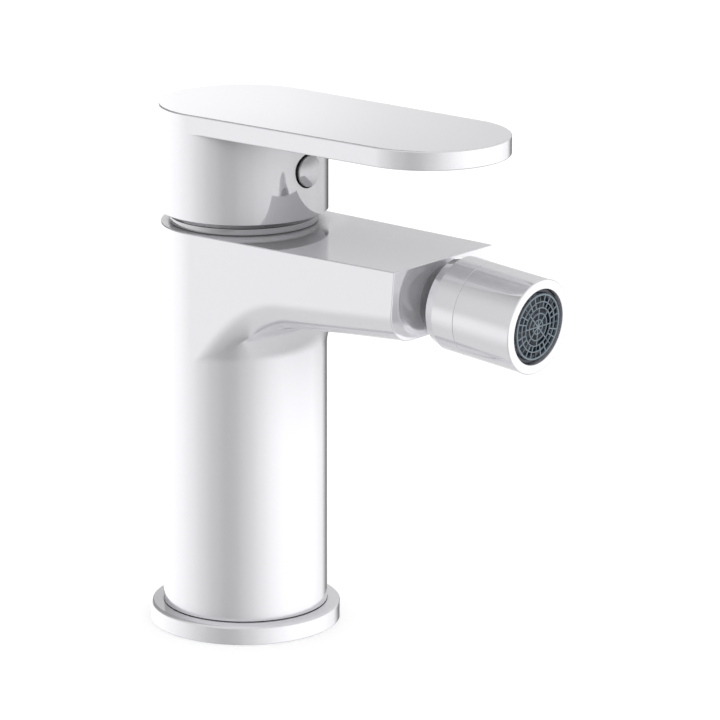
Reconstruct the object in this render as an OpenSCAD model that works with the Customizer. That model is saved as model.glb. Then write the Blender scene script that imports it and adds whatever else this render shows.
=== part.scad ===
// Single-lever bidet mixer: a round column with a square-edged spout, a flat lever on a
// ceramic-disc cartridge, and a swivelling nozzle with an aerator.
// Millimetres. +Z is up, the spout points to -Y, and the origin is on the column's axis
// in the plane of the deck that the mixer stands on.

/* [Column and base] */
// Diameter of the column
column_d = 45; // [44:0.5:47]
// Height of the column's flat top above the deck
body_top = 112.3; // [110:0.1:120]
// Diameter of the trim flange at the foot
flange_d = 52; // [50:0.5:60]
// Height of the flange's upright side
flange_h = 4.5; // [4:0.1:6]
// Height of the cavity in the column's underside
cavity_top = 40; // [30:1:50]

/* [Spout] */
// Distance from the column's axis to the spout's front edge
spout_reach = 69.1; // [65:0.1:80]
// Width of the spout at its front edge
spout_end_w = 40.6; // [38:0.1:42]
// Height of the spout's underside where it leaves the column
spout_underside = 89.3; // [89:0.1:90]
// Rise of the underside toward the front, in degrees
underside_rise = 3.7; // [3:0.1:4]
// Radius of the spout's lower long edges
spout_edge_r = 9; // [7:0.5:9]
// Radius of the blend between the underside and the column
blend_r = 11; // [8:0.5:12]

/* [Lever] */
// Diameter of the lever's round cap
cap_d = 45.8; // [45:0.1:47]
// Height of the lever's top face above the deck
lever_top = 144.7; // [144:0.1:146]
// Thickness of the lever's plate
plate_t = 5.2; // [5:0.1:6]
// Distance from the column's axis to the centre of the lever's round end
lever_end_y = 63.4; // [50:0.1:70]
// Radius of the lever's round end
lever_end_r = 21.9; // [18:0.1:22.4]
// Angle that the lever lifts through, in degrees
lift_angle = 20; // [10:1:20]

/* [Nozzle] */
// Diameter of the nozzle
nozzle_d = 25.4; // [25:0.1:26]
// Height of the nozzle's axis where it leaves the spout
nozzle_z = 101.8; // [101:0.1:102]
// Downward tilt of the nozzle in degrees
nozzle_tilt = 4.8; // [4:0.1:6]
// Distance from the spout's end face to the nozzle's mouth
nozzle_length = 32.2; // [32:0.1:34]
// Number of short spokes in the aerator's outer rings
grille_spokes = 24; // [16:4:28]

/* [Hidden] */
$fn = 128;
eps = 0.01;
// Length of the cutters that run right through what they cut
through = column_d;
chrome = "gainsboro";
brass = "goldenrod";
rubber = "dimgray";
plastic = "whitesmoke";
ceramic = "lightgray";

// Column and its trim flange
column_r = column_d / 2;
flange_r = flange_d / 2;
flange_round = 0.8;
flange_top = flange_h + flange_round + 0.1;
foot_z = 3;
foot_gap = 0.05;
foot_wall = 4;
ledge_r = column_r - foot_wall;
gasket_t = 1.6;
gasket_in_r = ledge_r + 1.3;
gasket_out_r = flange_r - 1.8;

// Water inlets and the fixing stud, tapped upward from the cavity's roof
inlet_x = 6.4;
inlet_y = -2.6;
inlet_tap_r = 4.5;
inlet_tap_depth = 12;
waterway_r = 3.5;
stud_y = 9.5;
stud_tap_r = 3.4;
stud_tap_depth = 14;

// Cartridge socket, from its floor to the column's top, sized from the cartridge's housing
housing_r = 17.4;
socket_depth = 24.3;
socket_floor = body_top - socket_depth;
chamber_r = housing_r + 1.6;
seal_z = socket_floor + 15;
seal_r = housing_r + 0.3;
thread_z = socket_floor + 18;
thread_r = housing_r + 1.6;
thread_gap = 0.05;

// Spout block
underside_tan = tan(underside_rise);
face_tan = tan(nozzle_tilt);
face_y = -spout_reach + (body_top - nozzle_z) * face_tan;
spout_root_w = column_d - 0.2;
face_low_z = spout_underside + (spout_reach - column_r) * underside_tan;
face_low_y = -spout_reach + (body_top - face_low_z) * face_tan;
narrowing = atan((spout_root_w - spout_end_w) / 2 / spout_reach);
side_out = [cos(narrowing), -sin(narrowing)];
side_along = [-sin(narrowing), -cos(narrowing)];
edge_inset = spout_root_w / 2 * cos(narrowing) - spout_edge_r;
roll_r = column_r + blend_r;
sweep_r = spout_edge_r + blend_r;
skin = 0.02;
crown_z = spout_underside + spout_edge_r + 1.5;
saddle_steps = 15;
arc_steps = 6;
front_steps = 5;
outlet_r = 5;
outlet_z = spout_underside + 7.8;
outlet_back = 15;
outlet_end = 22.1;
outlet_length = spout_reach - outlet_end;

// Ball joint, measured along the nozzle's axis from the spout's end face
port_r = 7.5;
port_depth = 11;
port_rebate_r = 9;
port_rebate = 1.5;
stud_oring_s = -3.1;
stud_oring_r = 0.55;
ball_s = 14;
ball_r = 9.5;
ball_flat_s = 22.7;
ball_bore_r = 3.4;
neck_r = 5.5;
seat_gap = 0.1;
seat_t = 0.9;
cavity_r = ball_r + seat_t + 3 * seat_gap;
nozzle_r = nozzle_d / 2;
collar_s = 4.5;
collar_taper = 1.2;
collar_back_r = nozzle_r - collar_taper;
flare_r = 10;
waist_r = 8.75;
waist_s = ball_s - sqrt(cavity_r * cavity_r - waist_r * waist_r);
seam_s = 14;
seam_w = 0.15;
spigot_r = 11.75;
spigot_l = 3.3;
spigot_gap = 0.05;
shoulder_s = 24;
mouth_r = 10.12;
throat_r = 7.5;

// Aerator
gasket_s = shoulder_s + 1.2;
aerator_r = mouth_r - 0.12;
rim_r = 8.85;
rim_w = 0.5;
bar_w = 0.42;

// Cartridge, as heights above the socket's floor
base_z = socket_floor + 2.5;
disc_z = base_z + 4;
port_hole_r = 2.4;
outlet_port_y = 3.4;
port_places = [[-inlet_x, inlet_y], [inlet_x, inlet_y], [0, outlet_port_y]];
disc_seal_r = 4;
disc_seal_t = 1.2;
inlet_seal_r = 4.8;
foot_r = 1.6;
foot_inset = 2.4;
foot_ring_r = housing_r - foot_inset;
fixed_disc_t = 3.5;
slide_gap = 0.05;
moving_z = disc_z + fixed_disc_t + slide_gap;
moving_t = 3.2;
pocket_x = 4.4;
pocket_y = 4.2;
pocket_r = 2.8;
pocket_t = 1.6;
driver_z = moving_z + moving_t;
driver_t = 3.95;
guide_gap = 0.15;
shoulder_h = 22;
shoulder_z = socket_floor + shoulder_h;
neck_top = shoulder_z + 10.5;
housing_wall = 2.8;
housing_roof_t = 1.6;
bore_r = housing_r - housing_wall;
moving_r = bore_r - 3;
driver_half_w = moving_r - 1.2;
oring_z = seal_z + 1.5;
oring_r = 0.75;
oring_groove = 0.9;
neck_out_r = housing_r - 2.8;
neck_in_r = neck_out_r - 3.15;
turn_gap = 0.1;
carrier_r = neck_in_r - turn_gap;
carrier_low = driver_z + 0.4;
carrier_top = neck_top + 1;
carrier_oring_z = shoulder_z + 3.3;
carrier_oring_r = 0.47;
carrier_groove = 0.7;
pivot_y = 2.5;
pivot_z = shoulder_z + 8;
pin_r = 1.5;
pin_gap = 0.05;
pin_half_l = carrier_r - 0.85;
toe_r = 2;
toe_arm = 14;
toe_w = 7;
leg_t = 3.2;
toe_gap = 0.12;
stem_w = 8;
stem_top = pivot_z + 16.5;
slot_front = 8.4;
slot_wall = 2.65;
slot_back = carrier_r - pivot_y - slot_wall;
slot_gap = 0.4;

// Cover ring and retaining nut
cover_w = 2.75;
cover_r = housing_r + cover_w;
cover_h = 2.3;
nut_collar_r = housing_r + 0.1;
nut_bore_r = neck_out_r + 0.3;
nut_top = shoulder_z + 5.2;
nut_notch = 3;

// Lever
cap_r = cap_d / 2;
plate_z = lever_top - plate_t;
cap_low = body_top + 3.6;
lip_r = cover_r + 0.3;
lip_z = body_top + 2.1;
cap_wall = 1.6;
cap_roof = plate_z - 2.4;
hub_r = 7.5;
hub_low = pivot_z + 8;
stem_gap = 0.05;
screw_z = body_top + 16.6;
boss_r = 5.4;
plug_r = 4.3;
plug_seat_r = 4.7;
plug_seat_depth = 3;
plug_out = 0.6;
plug_dome = 0.7;
plug_tail_r = 2.3;
plug_tail = 3.4;
screw_r = 2.5;
screw_l = 10;
hex_r = 1.45;
lift_gap = 0.45;
relief_y = 3;
relief_z = pivot_z - (pivot_z - body_top - lift_gap) / cos(lift_angle) - pivot_y * tan(lift_angle);

// A plain ring between two heights
module ring(out_r, in_r, z0, z1) {
    translate([0, 0, z0]) difference() {
        cylinder(r = out_r, h = z1 - z0);
        translate([0, 0, -1]) cylinder(r = in_r, h = z1 - z0 + 2);
    }
}

// A round seal of circular section, cut flat where it would leave its groove
module o_ring(mid_r, section_r, z) {
    translate([0, 0, z]) rotate_extrude() translate([mid_r, 0]) circle(r = section_r, $fn = 48);
}

// Moves its children from the nozzle's own frame: z is the distance from the end face
module on_nozzle() {
    translate([0, face_y, nozzle_z]) rotate([90 + nozzle_tilt, 0, 0]) children();
}

// The part of a ball shell between two distances along the nozzle's axis
module ball_zone(in_r, out_r, from_s, to_s) {
    difference() {
        translate([0, 0, ball_s]) sphere(r = out_r);
        translate([0, 0, ball_s]) sphere(r = in_r);
        translate([0, 0, ball_s - 2 * ball_r]) cylinder(r = 2 * ball_r, h = from_s - ball_s + 2 * ball_r);
        translate([0, 0, to_s]) cylinder(r = 2 * ball_r, h = 2 * ball_r);
    }
}

// Side profile of the spout block, in the Y-Z plane
module spout_profile() {
    polygon([
        [0, spout_underside - column_r * underside_tan], [face_low_y, face_low_z],
        [-spout_reach, body_top], [0, body_top]
    ]);
}

// Plan of the spout block: it narrows a little toward the front
module spout_plan() {
    polygon([
        [-spout_root_w / 2, 0], [-spout_end_w / 2, -spout_reach],
        [spout_end_w / 2, -spout_reach], [spout_root_w / 2, 0]
    ]);
}

// What is cut from a lower long edge of the spout, on the side given
module edge_cutter(side) {
    translate([side * spout_root_w / 2, 0, spout_underside - column_r * underside_tan])
        rotate([0, 0, side * -narrowing]) rotate([90 - underside_rise, 0, 0])
            linear_extrude(2 * spout_reach) difference() {
                translate([side > 0 ? -spout_edge_r : -1, -1])
                    square([spout_edge_r + 1, spout_edge_r + 1]);
                translate([-side * spout_edge_r, spout_edge_r]) circle(r = spout_edge_r);
            }
}

module spout_block() {
    difference() {
        intersection() {
            rotate([90, 0, 90]) linear_extrude(2 * column_d, center = true) spout_profile();
            translate([0, 0, spout_underside - column_r]) linear_extrude(body_top) spout_plan();
        }
        edge_cutter(-1);
        edge_cutter(1);
    }
}

// Height of the spout's underside at a distance ahead of the column's axis
function under_z(ahead) = spout_underside + (ahead - column_r) * underside_tan;

function unit(v) = v / norm(v);

// Half of one outline of the saddle under the spout. A ball of blend_r rolls outside, between the
// column and the underside, and a ball of spout_edge_r rolls inside the spout's lower edge. At this
// station the two touch, and the line through their centres is at the angle turn.
function half_outline(turn) = let(
    out = roll_r - sweep_r * cos(turn),
    at = edge_inset * side_out + sqrt(out * out - edge_inset * edge_inset) * side_along,
    around = atan2(at.x, -at.y),
    centre = [at.x, at.y, under_z(roll_r * cos(around)) - blend_r + sweep_r * sin(turn)],
    side = [side_out.x, side_out.y, 0],
    toward = [at.x * cos(turn) / out, at.y * cos(turn) / out, -sin(turn)],
    wall = centre + (spout_edge_r - skin) * side,
    blend_out = roll_r - (blend_r + skin) * cos(turn)
) concat(
    [[wall.x - 2, wall.y, crown_z + 2], [wall.x, wall.y, crown_z]],
    [for (k = [0:arc_steps]) let(part = k / arc_steps)
        centre + (spout_edge_r - skin) * unit((1 - part) * side + part * toward)],
    [for (k = [1:front_steps]) let(a = around * (1 - k / front_steps))
        [blend_out * sin(a), -blend_out * cos(a),
            under_z(roll_r * cos(a)) - blend_r + (blend_r + skin) * sin(turn)]]
);

// The whole outline: one half and its mirror image, which share the point on the middle plane
function outline(turn) = let(half = half_outline(turn), count = len(half)) concat(
    half, [for (k = [2:count]) [-half[count - k].x, half[count - k].y, half[count - k].z]]
);

// The smooth saddle that carries the spout's underside and lower edges down into the column. Each
// end is closed by strips from side to side, inside the spout and inside the column.
module saddle() {
    rows = [for (k = [0:saddle_steps]) outline(90 * k / saddle_steps)];
    n = len(rows[0]);
    middle = (n - 1) / 2;
    last = saddle_steps * n;
    polyhedron(
        points = [for (row = rows) each row],
        faces = concat(
            [for (k = [0:middle - 2]) [n - 1 - k, n - 2 - k, k + 1, k]],
            [[middle + 1, middle, middle - 1]],
            [for (r = [0:saddle_steps - 1], k = [0:n - 1])
                [r * n + (k + 1) % n, (r + 1) * n + (k + 1) % n, (r + 1) * n + k, r * n + k]],
            [for (k = [0:middle - 2]) [last + k, last + k + 1, last + n - 2 - k, last + n - 1 - k]],
            [[last + middle - 1, last + middle, last + middle + 1]]
        )
    );
}

module body_solid() {
    translate([0, 0, foot_z]) cylinder(r = column_r, h = body_top - foot_z);
    spout_block();
    saddle();
}

module body_casting() {
    color(chrome) difference() {
        body_solid();
        translate([0, 0, foot_z - 1]) cylinder(r = ledge_r, h = cavity_top - foot_z + 1);
        for (side = [-1, 1]) translate([side * inlet_x, inlet_y, 0]) {
            translate([0, 0, cavity_top - 1]) cylinder(r = inlet_tap_r, h = inlet_tap_depth + 1);
            translate([0, 0, cavity_top]) cylinder(r = waterway_r, h = socket_floor - cavity_top + 1);
        }
        translate([0, stud_y, cavity_top - 1]) cylinder(r = stud_tap_r, h = stud_tap_depth + 1);
        translate([0, 0, socket_floor]) cylinder(r = chamber_r, h = seal_z - socket_floor + eps);
        translate([0, 0, seal_z]) cylinder(r = seal_r, h = thread_z - seal_z + eps);
        translate([0, 0, thread_z]) cylinder(r = thread_r, h = body_top - thread_z + 1);
        translate([0, -outlet_back, outlet_z]) rotate([90 - underside_rise, 0, 0])
            cylinder(r = outlet_r, h = outlet_length);
        on_nozzle() translate([0, 0, -port_depth]) cylinder(r = port_r, h = port_depth + 1);
        on_nozzle() translate([0, 0, -port_rebate]) cylinder(r = port_rebate_r, h = port_rebate + 1);
    }
}

module base_ring() {
    inner_r = column_r + foot_gap;
    rim_r = flange_r - flange_round;
    rim = [for (a = [0 : 22.5 : 90]) [rim_r, flange_h] + flange_round * [cos(a), sin(a)]];
    color(chrome) difference() {
        rotate_extrude() polygon(concat(
            [[ledge_r, 0], [flange_r, 0]], rim,
            [[inner_r, flange_top], [inner_r, foot_z], [ledge_r, foot_z]]
        ));
        ring(gasket_out_r, gasket_in_r, -1, gasket_t);
    }
}

module base_gasket() {
    color(rubber) ring(gasket_out_r, gasket_in_r, 0, gasket_t);
}

module inlet_seals() {
    color(rubber) for (side = [-1, 1]) translate([side * inlet_x, inlet_y, 0])
        ring(inlet_seal_r, waterway_r + 0.1, socket_floor, base_z);
}

module cartridge_base() {
    color(plastic) {
        difference() {
            translate([0, 0, base_z]) cylinder(r = housing_r, h = disc_z - base_z);
            for (at = port_places) translate([at[0], at[1], 0]) {
                translate([0, 0, base_z - 1]) cylinder(r = port_hole_r + 0.2, h = through);
                translate([0, 0, disc_z - disc_seal_t]) cylinder(r = disc_seal_r, h = through);
            }
        }
        for (a = [0, 120, 240]) rotate(a) translate([0, foot_ring_r, socket_floor])
            cylinder(r = foot_r, h = base_z - socket_floor + eps);
    }
}

module disc_seals() {
    color(rubber) for (at = port_places) translate([at[0], at[1], 0])
        ring(disc_seal_r, port_hole_r + 0.3, disc_z - disc_seal_t, disc_z);
}

module fixed_disc() {
    color(ceramic) difference() {
        translate([0, 0, disc_z]) cylinder(r = bore_r - 0.2, h = fixed_disc_t);
        for (at = port_places) translate([at[0], at[1], disc_z - 1]) cylinder(r = port_hole_r, h = through);
    }
}

module cartridge_housing() {
    color(plastic) difference() {
        union() {
            translate([0, 0, disc_z]) cylinder(r = housing_r, h = shoulder_z - disc_z);
            translate([0, 0, shoulder_z - eps]) cylinder(r = neck_out_r, h = neck_top - shoulder_z + eps);
        }
        translate([0, 0, disc_z - 1]) cylinder(r = bore_r, h = shoulder_z - disc_z - housing_roof_t + 1);
        translate([0, 0, shoulder_z - housing_roof_t - 1]) cylinder(r = neck_in_r, h = through);
        ring(housing_r + 1, housing_r - 1.3, oring_z - oring_groove, oring_z + oring_groove);
    }
}

module housing_oring() {
    color(rubber) o_ring(housing_r - 0.5, oring_r, oring_z);
}

module retaining_nut() {
    color(brass) difference() {
        union() {
            translate([0, 0, thread_z + 1]) cylinder(r = thread_r - thread_gap, h = body_top - thread_z - 1);
            translate([0, 0, body_top - eps]) cylinder(r = nut_collar_r, h = nut_top - body_top + eps);
        }
        translate([0, 0, thread_z]) cylinder(r = housing_r + 0.1, h = shoulder_z - thread_z);
        translate([0, 0, shoulder_z - eps]) cylinder(r = nut_bore_r, h = through);
        for (a = [0:60:300]) rotate(a) translate([nut_bore_r - 1, -nut_notch / 2, nut_top - 2])
            cube([(nut_collar_r - nut_bore_r) / 2 + 1, nut_notch, nut_notch]);
    }
}

module cover_ring() {
    color(chrome) rotate_extrude() polygon([
        [nut_collar_r + thread_gap, body_top], [cover_r - 0.25, body_top], [cover_r, body_top + 0.25],
        [cover_r, body_top + cover_h - 0.5], [cover_r - 0.6, body_top + cover_h],
        [nut_collar_r + 0.9, nut_top - 0.5], [nut_collar_r + thread_gap, nut_top - 0.5]
    ]);
}

module cartridge_carrier() {
    flange_top_z = shoulder_z - housing_roof_t - turn_gap;
    color(plastic) difference() {
        union() {
            translate([0, 0, carrier_low]) cylinder(r = bore_r - turn_gap, h = flange_top_z - carrier_low);
            translate([0, 0, carrier_low]) cylinder(r = carrier_r, h = carrier_top - carrier_low);
        }
        translate([-driver_half_w - guide_gap, -housing_r, carrier_low - 1])
            cube([2 * (driver_half_w + guide_gap), 2 * housing_r, driver_z + driver_t - carrier_low + 1.2]);
        translate([-stem_w / 2 - slot_gap, pivot_y - slot_front, carrier_low])
            cube([stem_w + 2 * slot_gap, slot_front + slot_back, through]);
        translate([-through / 2, pivot_y, pivot_z]) rotate([0, 90, 0]) cylinder(r = pin_r, h = through);
        ring(carrier_r + 1, carrier_r - 1,
            carrier_oring_z - carrier_groove, carrier_oring_z + carrier_groove);
    }
}

module carrier_oring() {
    color(rubber) o_ring(carrier_r - 0.5, carrier_oring_r, carrier_oring_z);
}

module pivot_pin() {
    color("silver") translate([-pin_half_l, pivot_y, pivot_z]) rotate([0, 90, 0])
        cylinder(r = pin_r, h = 2 * pin_half_l);
}

module cartridge_stem() {
    toe_z = pivot_z - toe_arm;
    color("silver") difference() {
        union() {
            translate([-stem_w / 2, pivot_y - stem_w / 2, pivot_z - 4])
                cube([stem_w, stem_w, stem_top - pivot_z + 4]);
            translate([-toe_w / 2, pivot_y - leg_t / 2, toe_z]) cube([toe_w, leg_t, toe_arm]);
            translate([-toe_w / 2, pivot_y, toe_z]) rotate([0, 90, 0]) cylinder(r = toe_r, h = toe_w);
        }
        translate([-stem_w, pivot_y, pivot_z]) rotate([0, 90, 0])
            cylinder(r = pin_r + pin_gap, h = 2 * stem_w);
    }
}

// Closed, the pocket lies behind the two inlets; lifting the lever slides it forward over them
module moving_disc() {
    color(ceramic) difference() {
        translate([0, pivot_y, moving_z]) cylinder(r = moving_r, h = moving_t);
        translate([0, pocket_y, moving_z - 1]) {
            for (side = [-1, 1]) translate([side * pocket_x, 0, 0]) cylinder(r = pocket_r, h = pocket_t + 1);
            translate([-pocket_x, -pocket_r, 0]) cube([2 * pocket_x, 2 * pocket_r, pocket_t + 1]);
        }
    }
}

module disc_driver() {
    color("slategray") difference() {
        intersection() {
            translate([0, pivot_y, driver_z]) cylinder(r = moving_r, h = driver_t);
            translate([-driver_half_w, -housing_r, driver_z])
                cube([2 * driver_half_w, 2 * housing_r, driver_t]);
        }
        translate([-toe_w / 2 - slot_gap, pivot_y - toe_r - toe_gap, driver_z + 0.5])
            cube([toe_w + 2 * slot_gap, 2 * (toe_r + toe_gap), driver_t]);
    }
}

// Plan of the lever: the round cap, drawn out to a slightly smaller round end
module lever_plan(inset) {
    side_sin = (cap_r - lever_end_r) / lever_end_y;
    side_cos = sqrt(1 - side_sin * side_sin);
    back = cap_r - inset;
    front = lever_end_r - inset;
    circle(r = back);
    translate([0, -lever_end_y]) circle(r = front);
    polygon([
        [-back * side_cos, -back * side_sin], [-front * side_cos, -lever_end_y - front * side_sin],
        [front * side_cos, -lever_end_y - front * side_sin], [back * side_cos, -back * side_sin]
    ]);
}

module cap_shell() {
    inner_r = cap_r - cap_wall;
    rotate_extrude() polygon([
        [lip_r, lip_z], [cap_r, cap_low], [cap_r, plate_z + 1], [0, plate_z + 1], [0, cap_roof],
        [inner_r - 1, cap_roof], [inner_r, cap_roof - 1], [inner_r, cap_low + 1.6], [lip_r, cap_low + 0.4]
    ]);
}

module lever() {
    color(chrome) difference() {
        union() {
            translate([0, 0, plate_z]) linear_extrude(plate_t) lever_plan(0);
            cap_shell();
            translate([0, pivot_y, hub_low]) cylinder(r = hub_r, h = plate_z - hub_low + 1);
            translate([0, 0, screw_z]) rotate([90, 0, 0]) cylinder(r = boss_r, h = cap_r - 1);
        }
        translate([-stem_w / 2 - stem_gap, pivot_y - stem_w / 2 - stem_gap, screw_z - boss_r - 1])
            cube([stem_w + 2 * stem_gap, stem_w + 2 * stem_gap, stem_top + 0.2 - screw_z + boss_r + 1]);
        translate([0, 0, screw_z]) rotate([90, 0, 0]) cylinder(r = screw_r, h = cap_r + 5);
        translate([0, -cap_r + plug_seat_depth, screw_z]) rotate([90, 0, 0])
            cylinder(r = plug_seat_r, h = cap_r);
        // Rear relief that lets the cap's skirt swing down as the lever lifts
        translate([-through, 0, relief_z]) rotate([lift_angle, 0, 0]) translate([0, relief_y, -through])
            cube([2 * through, through, through]);
        intersection() {
            translate([0, 0, lip_z - 1]) cylinder(r = cap_r - cap_wall, h = cap_low - lip_z + 3);
            translate([-through, relief_y, lip_z - 1]) cube([2 * through, through, cap_low - lip_z + 4]);
        }
    }
}

module grub_screw() {
    from_y = pivot_y - stem_w / 2;
    color("darkgray") difference() {
        translate([0, from_y, screw_z]) rotate([90, 0, 0]) cylinder(r = screw_r - 0.02, h = screw_l);
        translate([0, from_y - screw_l + 3, screw_z]) rotate([90, 0, 0])
            cylinder(r = hex_r, h = screw_l, $fn = 6);
    }
}

module screw_plug() {
    back_y = cap_r - plug_seat_depth;
    rim_y = cap_r + plug_out;
    dome_r = (plug_r * plug_r + plug_dome * plug_dome) / (2 * plug_dome);
    color(chrome) translate([0, 0, screw_z]) rotate([90, 0, 0]) {
        translate([0, 0, back_y]) cylinder(r = plug_r, h = rim_y - back_y);
        translate([0, 0, back_y - plug_tail]) cylinder(r = plug_tail_r, h = plug_tail + eps);
        intersection() {
            translate([0, 0, rim_y + plug_dome - dome_r]) sphere(r = dome_r);
            translate([0, 0, rim_y - 1]) cylinder(r = plug_r, h = plug_r);
        }
    }
}

module ball_stud() {
    color(brass) on_nozzle() difference() {
        union() {
            translate([0, 0, -port_depth + 1]) cylinder(r = port_r - 0.05, h = port_depth - 1);
            translate([0, 0, -port_rebate + 0.1]) cylinder(r = port_rebate_r - 0.2, h = port_rebate - 0.2);
            translate([0, 0, -1]) cylinder(r = neck_r, h = ball_s - ball_r + 4);
            intersection() {
                translate([0, 0, ball_s]) sphere(r = ball_r);
                cylinder(r = ball_r + 1, h = ball_flat_s);
            }
        }
        translate([0, 0, -port_depth - 1]) cylinder(r = ball_bore_r, h = through);
        ring(port_r + 1, port_r - 1.15, stud_oring_s - 0.9, stud_oring_s + 0.9);
    }
}

module stud_oring() {
    color(rubber) on_nozzle() o_ring(port_r - 0.57, stud_oring_r, stud_oring_s);
}

module slip_ring() {
    in_r = ball_r + seat_gap;
    color("white") on_nozzle() ball_zone(in_r, in_r + seat_t, ball_s - 5.6, ball_s - 2.6);
}

module seat_seal() {
    in_r = ball_r + seat_gap;
    color(rubber) on_nozzle() ball_zone(in_r, in_r + seat_t, ball_s + 3.4, ball_s + 7.1);
}

module nozzle_collar() {
    color(chrome) on_nozzle() difference() {
        rotate_extrude() polygon([
            [0, collar_s], [collar_back_r, collar_s], [nozzle_r, collar_s + collar_taper],
            [nozzle_r, seam_s], [0, seam_s]
        ]);
        translate([0, 0, ball_s]) sphere(r = cavity_r);
        translate([0, 0, collar_s - eps]) cylinder(r1 = flare_r, r2 = waist_r, h = waist_s - collar_s + eps);
        translate([0, 0, seam_s - spigot_l]) cylinder(r = spigot_r + spigot_gap, h = through);
    }
}

module nozzle_barrel() {
    color(chrome) on_nozzle() difference() {
        rotate_extrude() polygon([
            [0, seam_s - spigot_l + spigot_gap], [spigot_r, seam_s - spigot_l + spigot_gap],
            [spigot_r, seam_s], [nozzle_r - seam_w, seam_s], [nozzle_r, seam_s + seam_w],
            [nozzle_r, nozzle_length - 0.25], [nozzle_r - 0.25, nozzle_length], [0, nozzle_length]
        ]);
        translate([0, 0, ball_s]) sphere(r = cavity_r);
        translate([0, 0, ball_s]) cylinder(r = throat_r, h = through);
        translate([0, 0, shoulder_s]) cylinder(r = mouth_r, h = through);
    }
}

module aerator_gasket() {
    color(rubber) on_nozzle() ring(aerator_r, throat_r + 0.1, shoulder_s, gasket_s);
}

module aerator_housing() {
    color("midnightblue") on_nozzle() difference() {
        rotate_extrude() polygon([
            [7.2, gasket_s], [aerator_r, gasket_s], [aerator_r, nozzle_length - 1.2],
            [rim_r + 0.05, nozzle_length - 1.2], [rim_r + 0.05, gasket_s + 1], [7.2, gasket_s + 1]
        ]);
    }
}

module flow_regulator() {
    from_s = gasket_s + 1;
    color("darkcyan") on_nozzle() difference() {
        translate([0, 0, from_s]) cylinder(r = rim_r, h = 1.6);
        for (a = [0:30:330]) rotate(a) translate([rim_r - 2.45, 0, from_s - 1]) cylinder(r = 0.8, h = 5);
        for (a = [0:60:300]) rotate(a) translate([3.2, 0, from_s - 1]) cylinder(r = 0.7, h = 5);
    }
}

module aerator_screens() {
    from_s = gasket_s + 2.6;
    color("slategray") on_nozzle() {
        ring(rim_r, rim_r - 1, from_s, nozzle_length - 1.5);
        for (step = [0, 1]) translate([0, 0, from_s + 0.5 + step]) cylinder(r = rim_r - 0.5, h = 0.4);
    }
}

// Spokes of the grille between two radii
module spokes(count, from_r, to_r, turn) {
    for (k = [0:count - 1]) rotate(turn + k * 360 / count)
        translate([from_r, -bar_w / 2]) square([to_r - from_r, bar_w]);
}

module circle_bar(mid_r) {
    difference() {
        circle(r = mid_r + bar_w / 2);
        circle(r = mid_r - bar_w / 2);
    }
}

module aerator_grille() {
    zone_r = [1.9, 3.6, 5.1, 6.7];
    color("lightslategray") on_nozzle() translate([0, 0, nozzle_length - 1.5]) linear_extrude(1.4) {
        difference() {
            circle(r = rim_r);
            circle(r = rim_r - rim_w);
        }
        circle(r = 0.7);
        for (r = zone_r) circle_bar(r);
        spokes(8, 0, rim_r - rim_w + 0.1, 0);
        spokes(grille_spokes, zone_r[2], rim_r - rim_w + 0.1, 0);
    }
}

body_casting();
base_ring();
base_gasket();
inlet_seals();
cartridge_base();
disc_seals();
fixed_disc();
cartridge_housing();
housing_oring();
retaining_nut();
cover_ring();
ball_stud();
stud_oring();
cartridge_carrier();
pivot_pin();
carrier_oring();
lever();
cartridge_stem();
grub_screw();
screw_plug();
moving_disc();
disc_driver();
slip_ring();
seat_seal();
nozzle_collar();
nozzle_barrel();
aerator_gasket();
aerator_housing();
flow_regulator();
aerator_screens();
aerator_grille();
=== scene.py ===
import math

import bmesh
import bpy
import numpy as np
from mathutils import Matrix
from mathutils.geometry import delaunay_2d_cdt


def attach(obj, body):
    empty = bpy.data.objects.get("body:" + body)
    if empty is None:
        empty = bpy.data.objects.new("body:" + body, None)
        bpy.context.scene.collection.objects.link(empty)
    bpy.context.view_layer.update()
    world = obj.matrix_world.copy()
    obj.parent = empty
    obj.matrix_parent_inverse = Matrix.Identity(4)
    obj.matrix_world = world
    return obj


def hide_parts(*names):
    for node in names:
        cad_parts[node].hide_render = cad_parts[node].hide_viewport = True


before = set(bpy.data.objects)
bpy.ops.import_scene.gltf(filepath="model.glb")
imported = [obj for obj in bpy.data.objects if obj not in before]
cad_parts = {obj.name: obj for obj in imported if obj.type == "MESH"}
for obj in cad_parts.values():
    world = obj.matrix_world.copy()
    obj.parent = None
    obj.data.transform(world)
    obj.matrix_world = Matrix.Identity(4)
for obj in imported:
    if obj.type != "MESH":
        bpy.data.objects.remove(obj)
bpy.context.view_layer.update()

bl_info = {
    "name": "Bidet mixer",
    "version": (1, 0, 0),
    "blender": (4, 5, 0),
    "location": "3D View > Sidebar > Mixer",
    "description": "Builds the visible shapes and finishes of a single-lever bidet mixer",
    "category": "Object",
}

UP = np.array([0.0, 0.0, 1.0])
OTHER_SIDE = np.array([-1, 1, 1])
# Any direction that isn't upright
ACROSS = [0.3, 0.9, 0.2]
LENGTH = {"subtype": "DISTANCE", "unit": "LENGTH"}
ANGLE = {"subtype": "ANGLE", "unit": "ROTATION"}
EXACT = "exact_normal"
WELD = 1e-6
MM = 1000
# Radii of the machined edges, from the keenest
KEEN, EASED, SOFT, BROAD = 0.0001, 0.0002, 0.0003, 0.0004
# How far a cutter passes the face that it opens, how far two faces stand off each other, and the least
# that keeps two faces apart
PAST, OFF, HAIR = 0.001, 0.00005, 0.00001


def length(default, about):
    return bpy.props.FloatProperty(default=default, description=about, precision=5, **LENGTH)


def angle(degrees, about):
    return bpy.props.FloatProperty(default=math.radians(degrees), description=about, **ANGLE)


def fraction(default, about):
    return bpy.props.FloatProperty(
        default=default, description=about, subtype="FACTOR", min=0, max=1, precision=3)


def number(default, about):
    return bpy.props.FloatProperty(default=default, description=about, precision=3)


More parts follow.
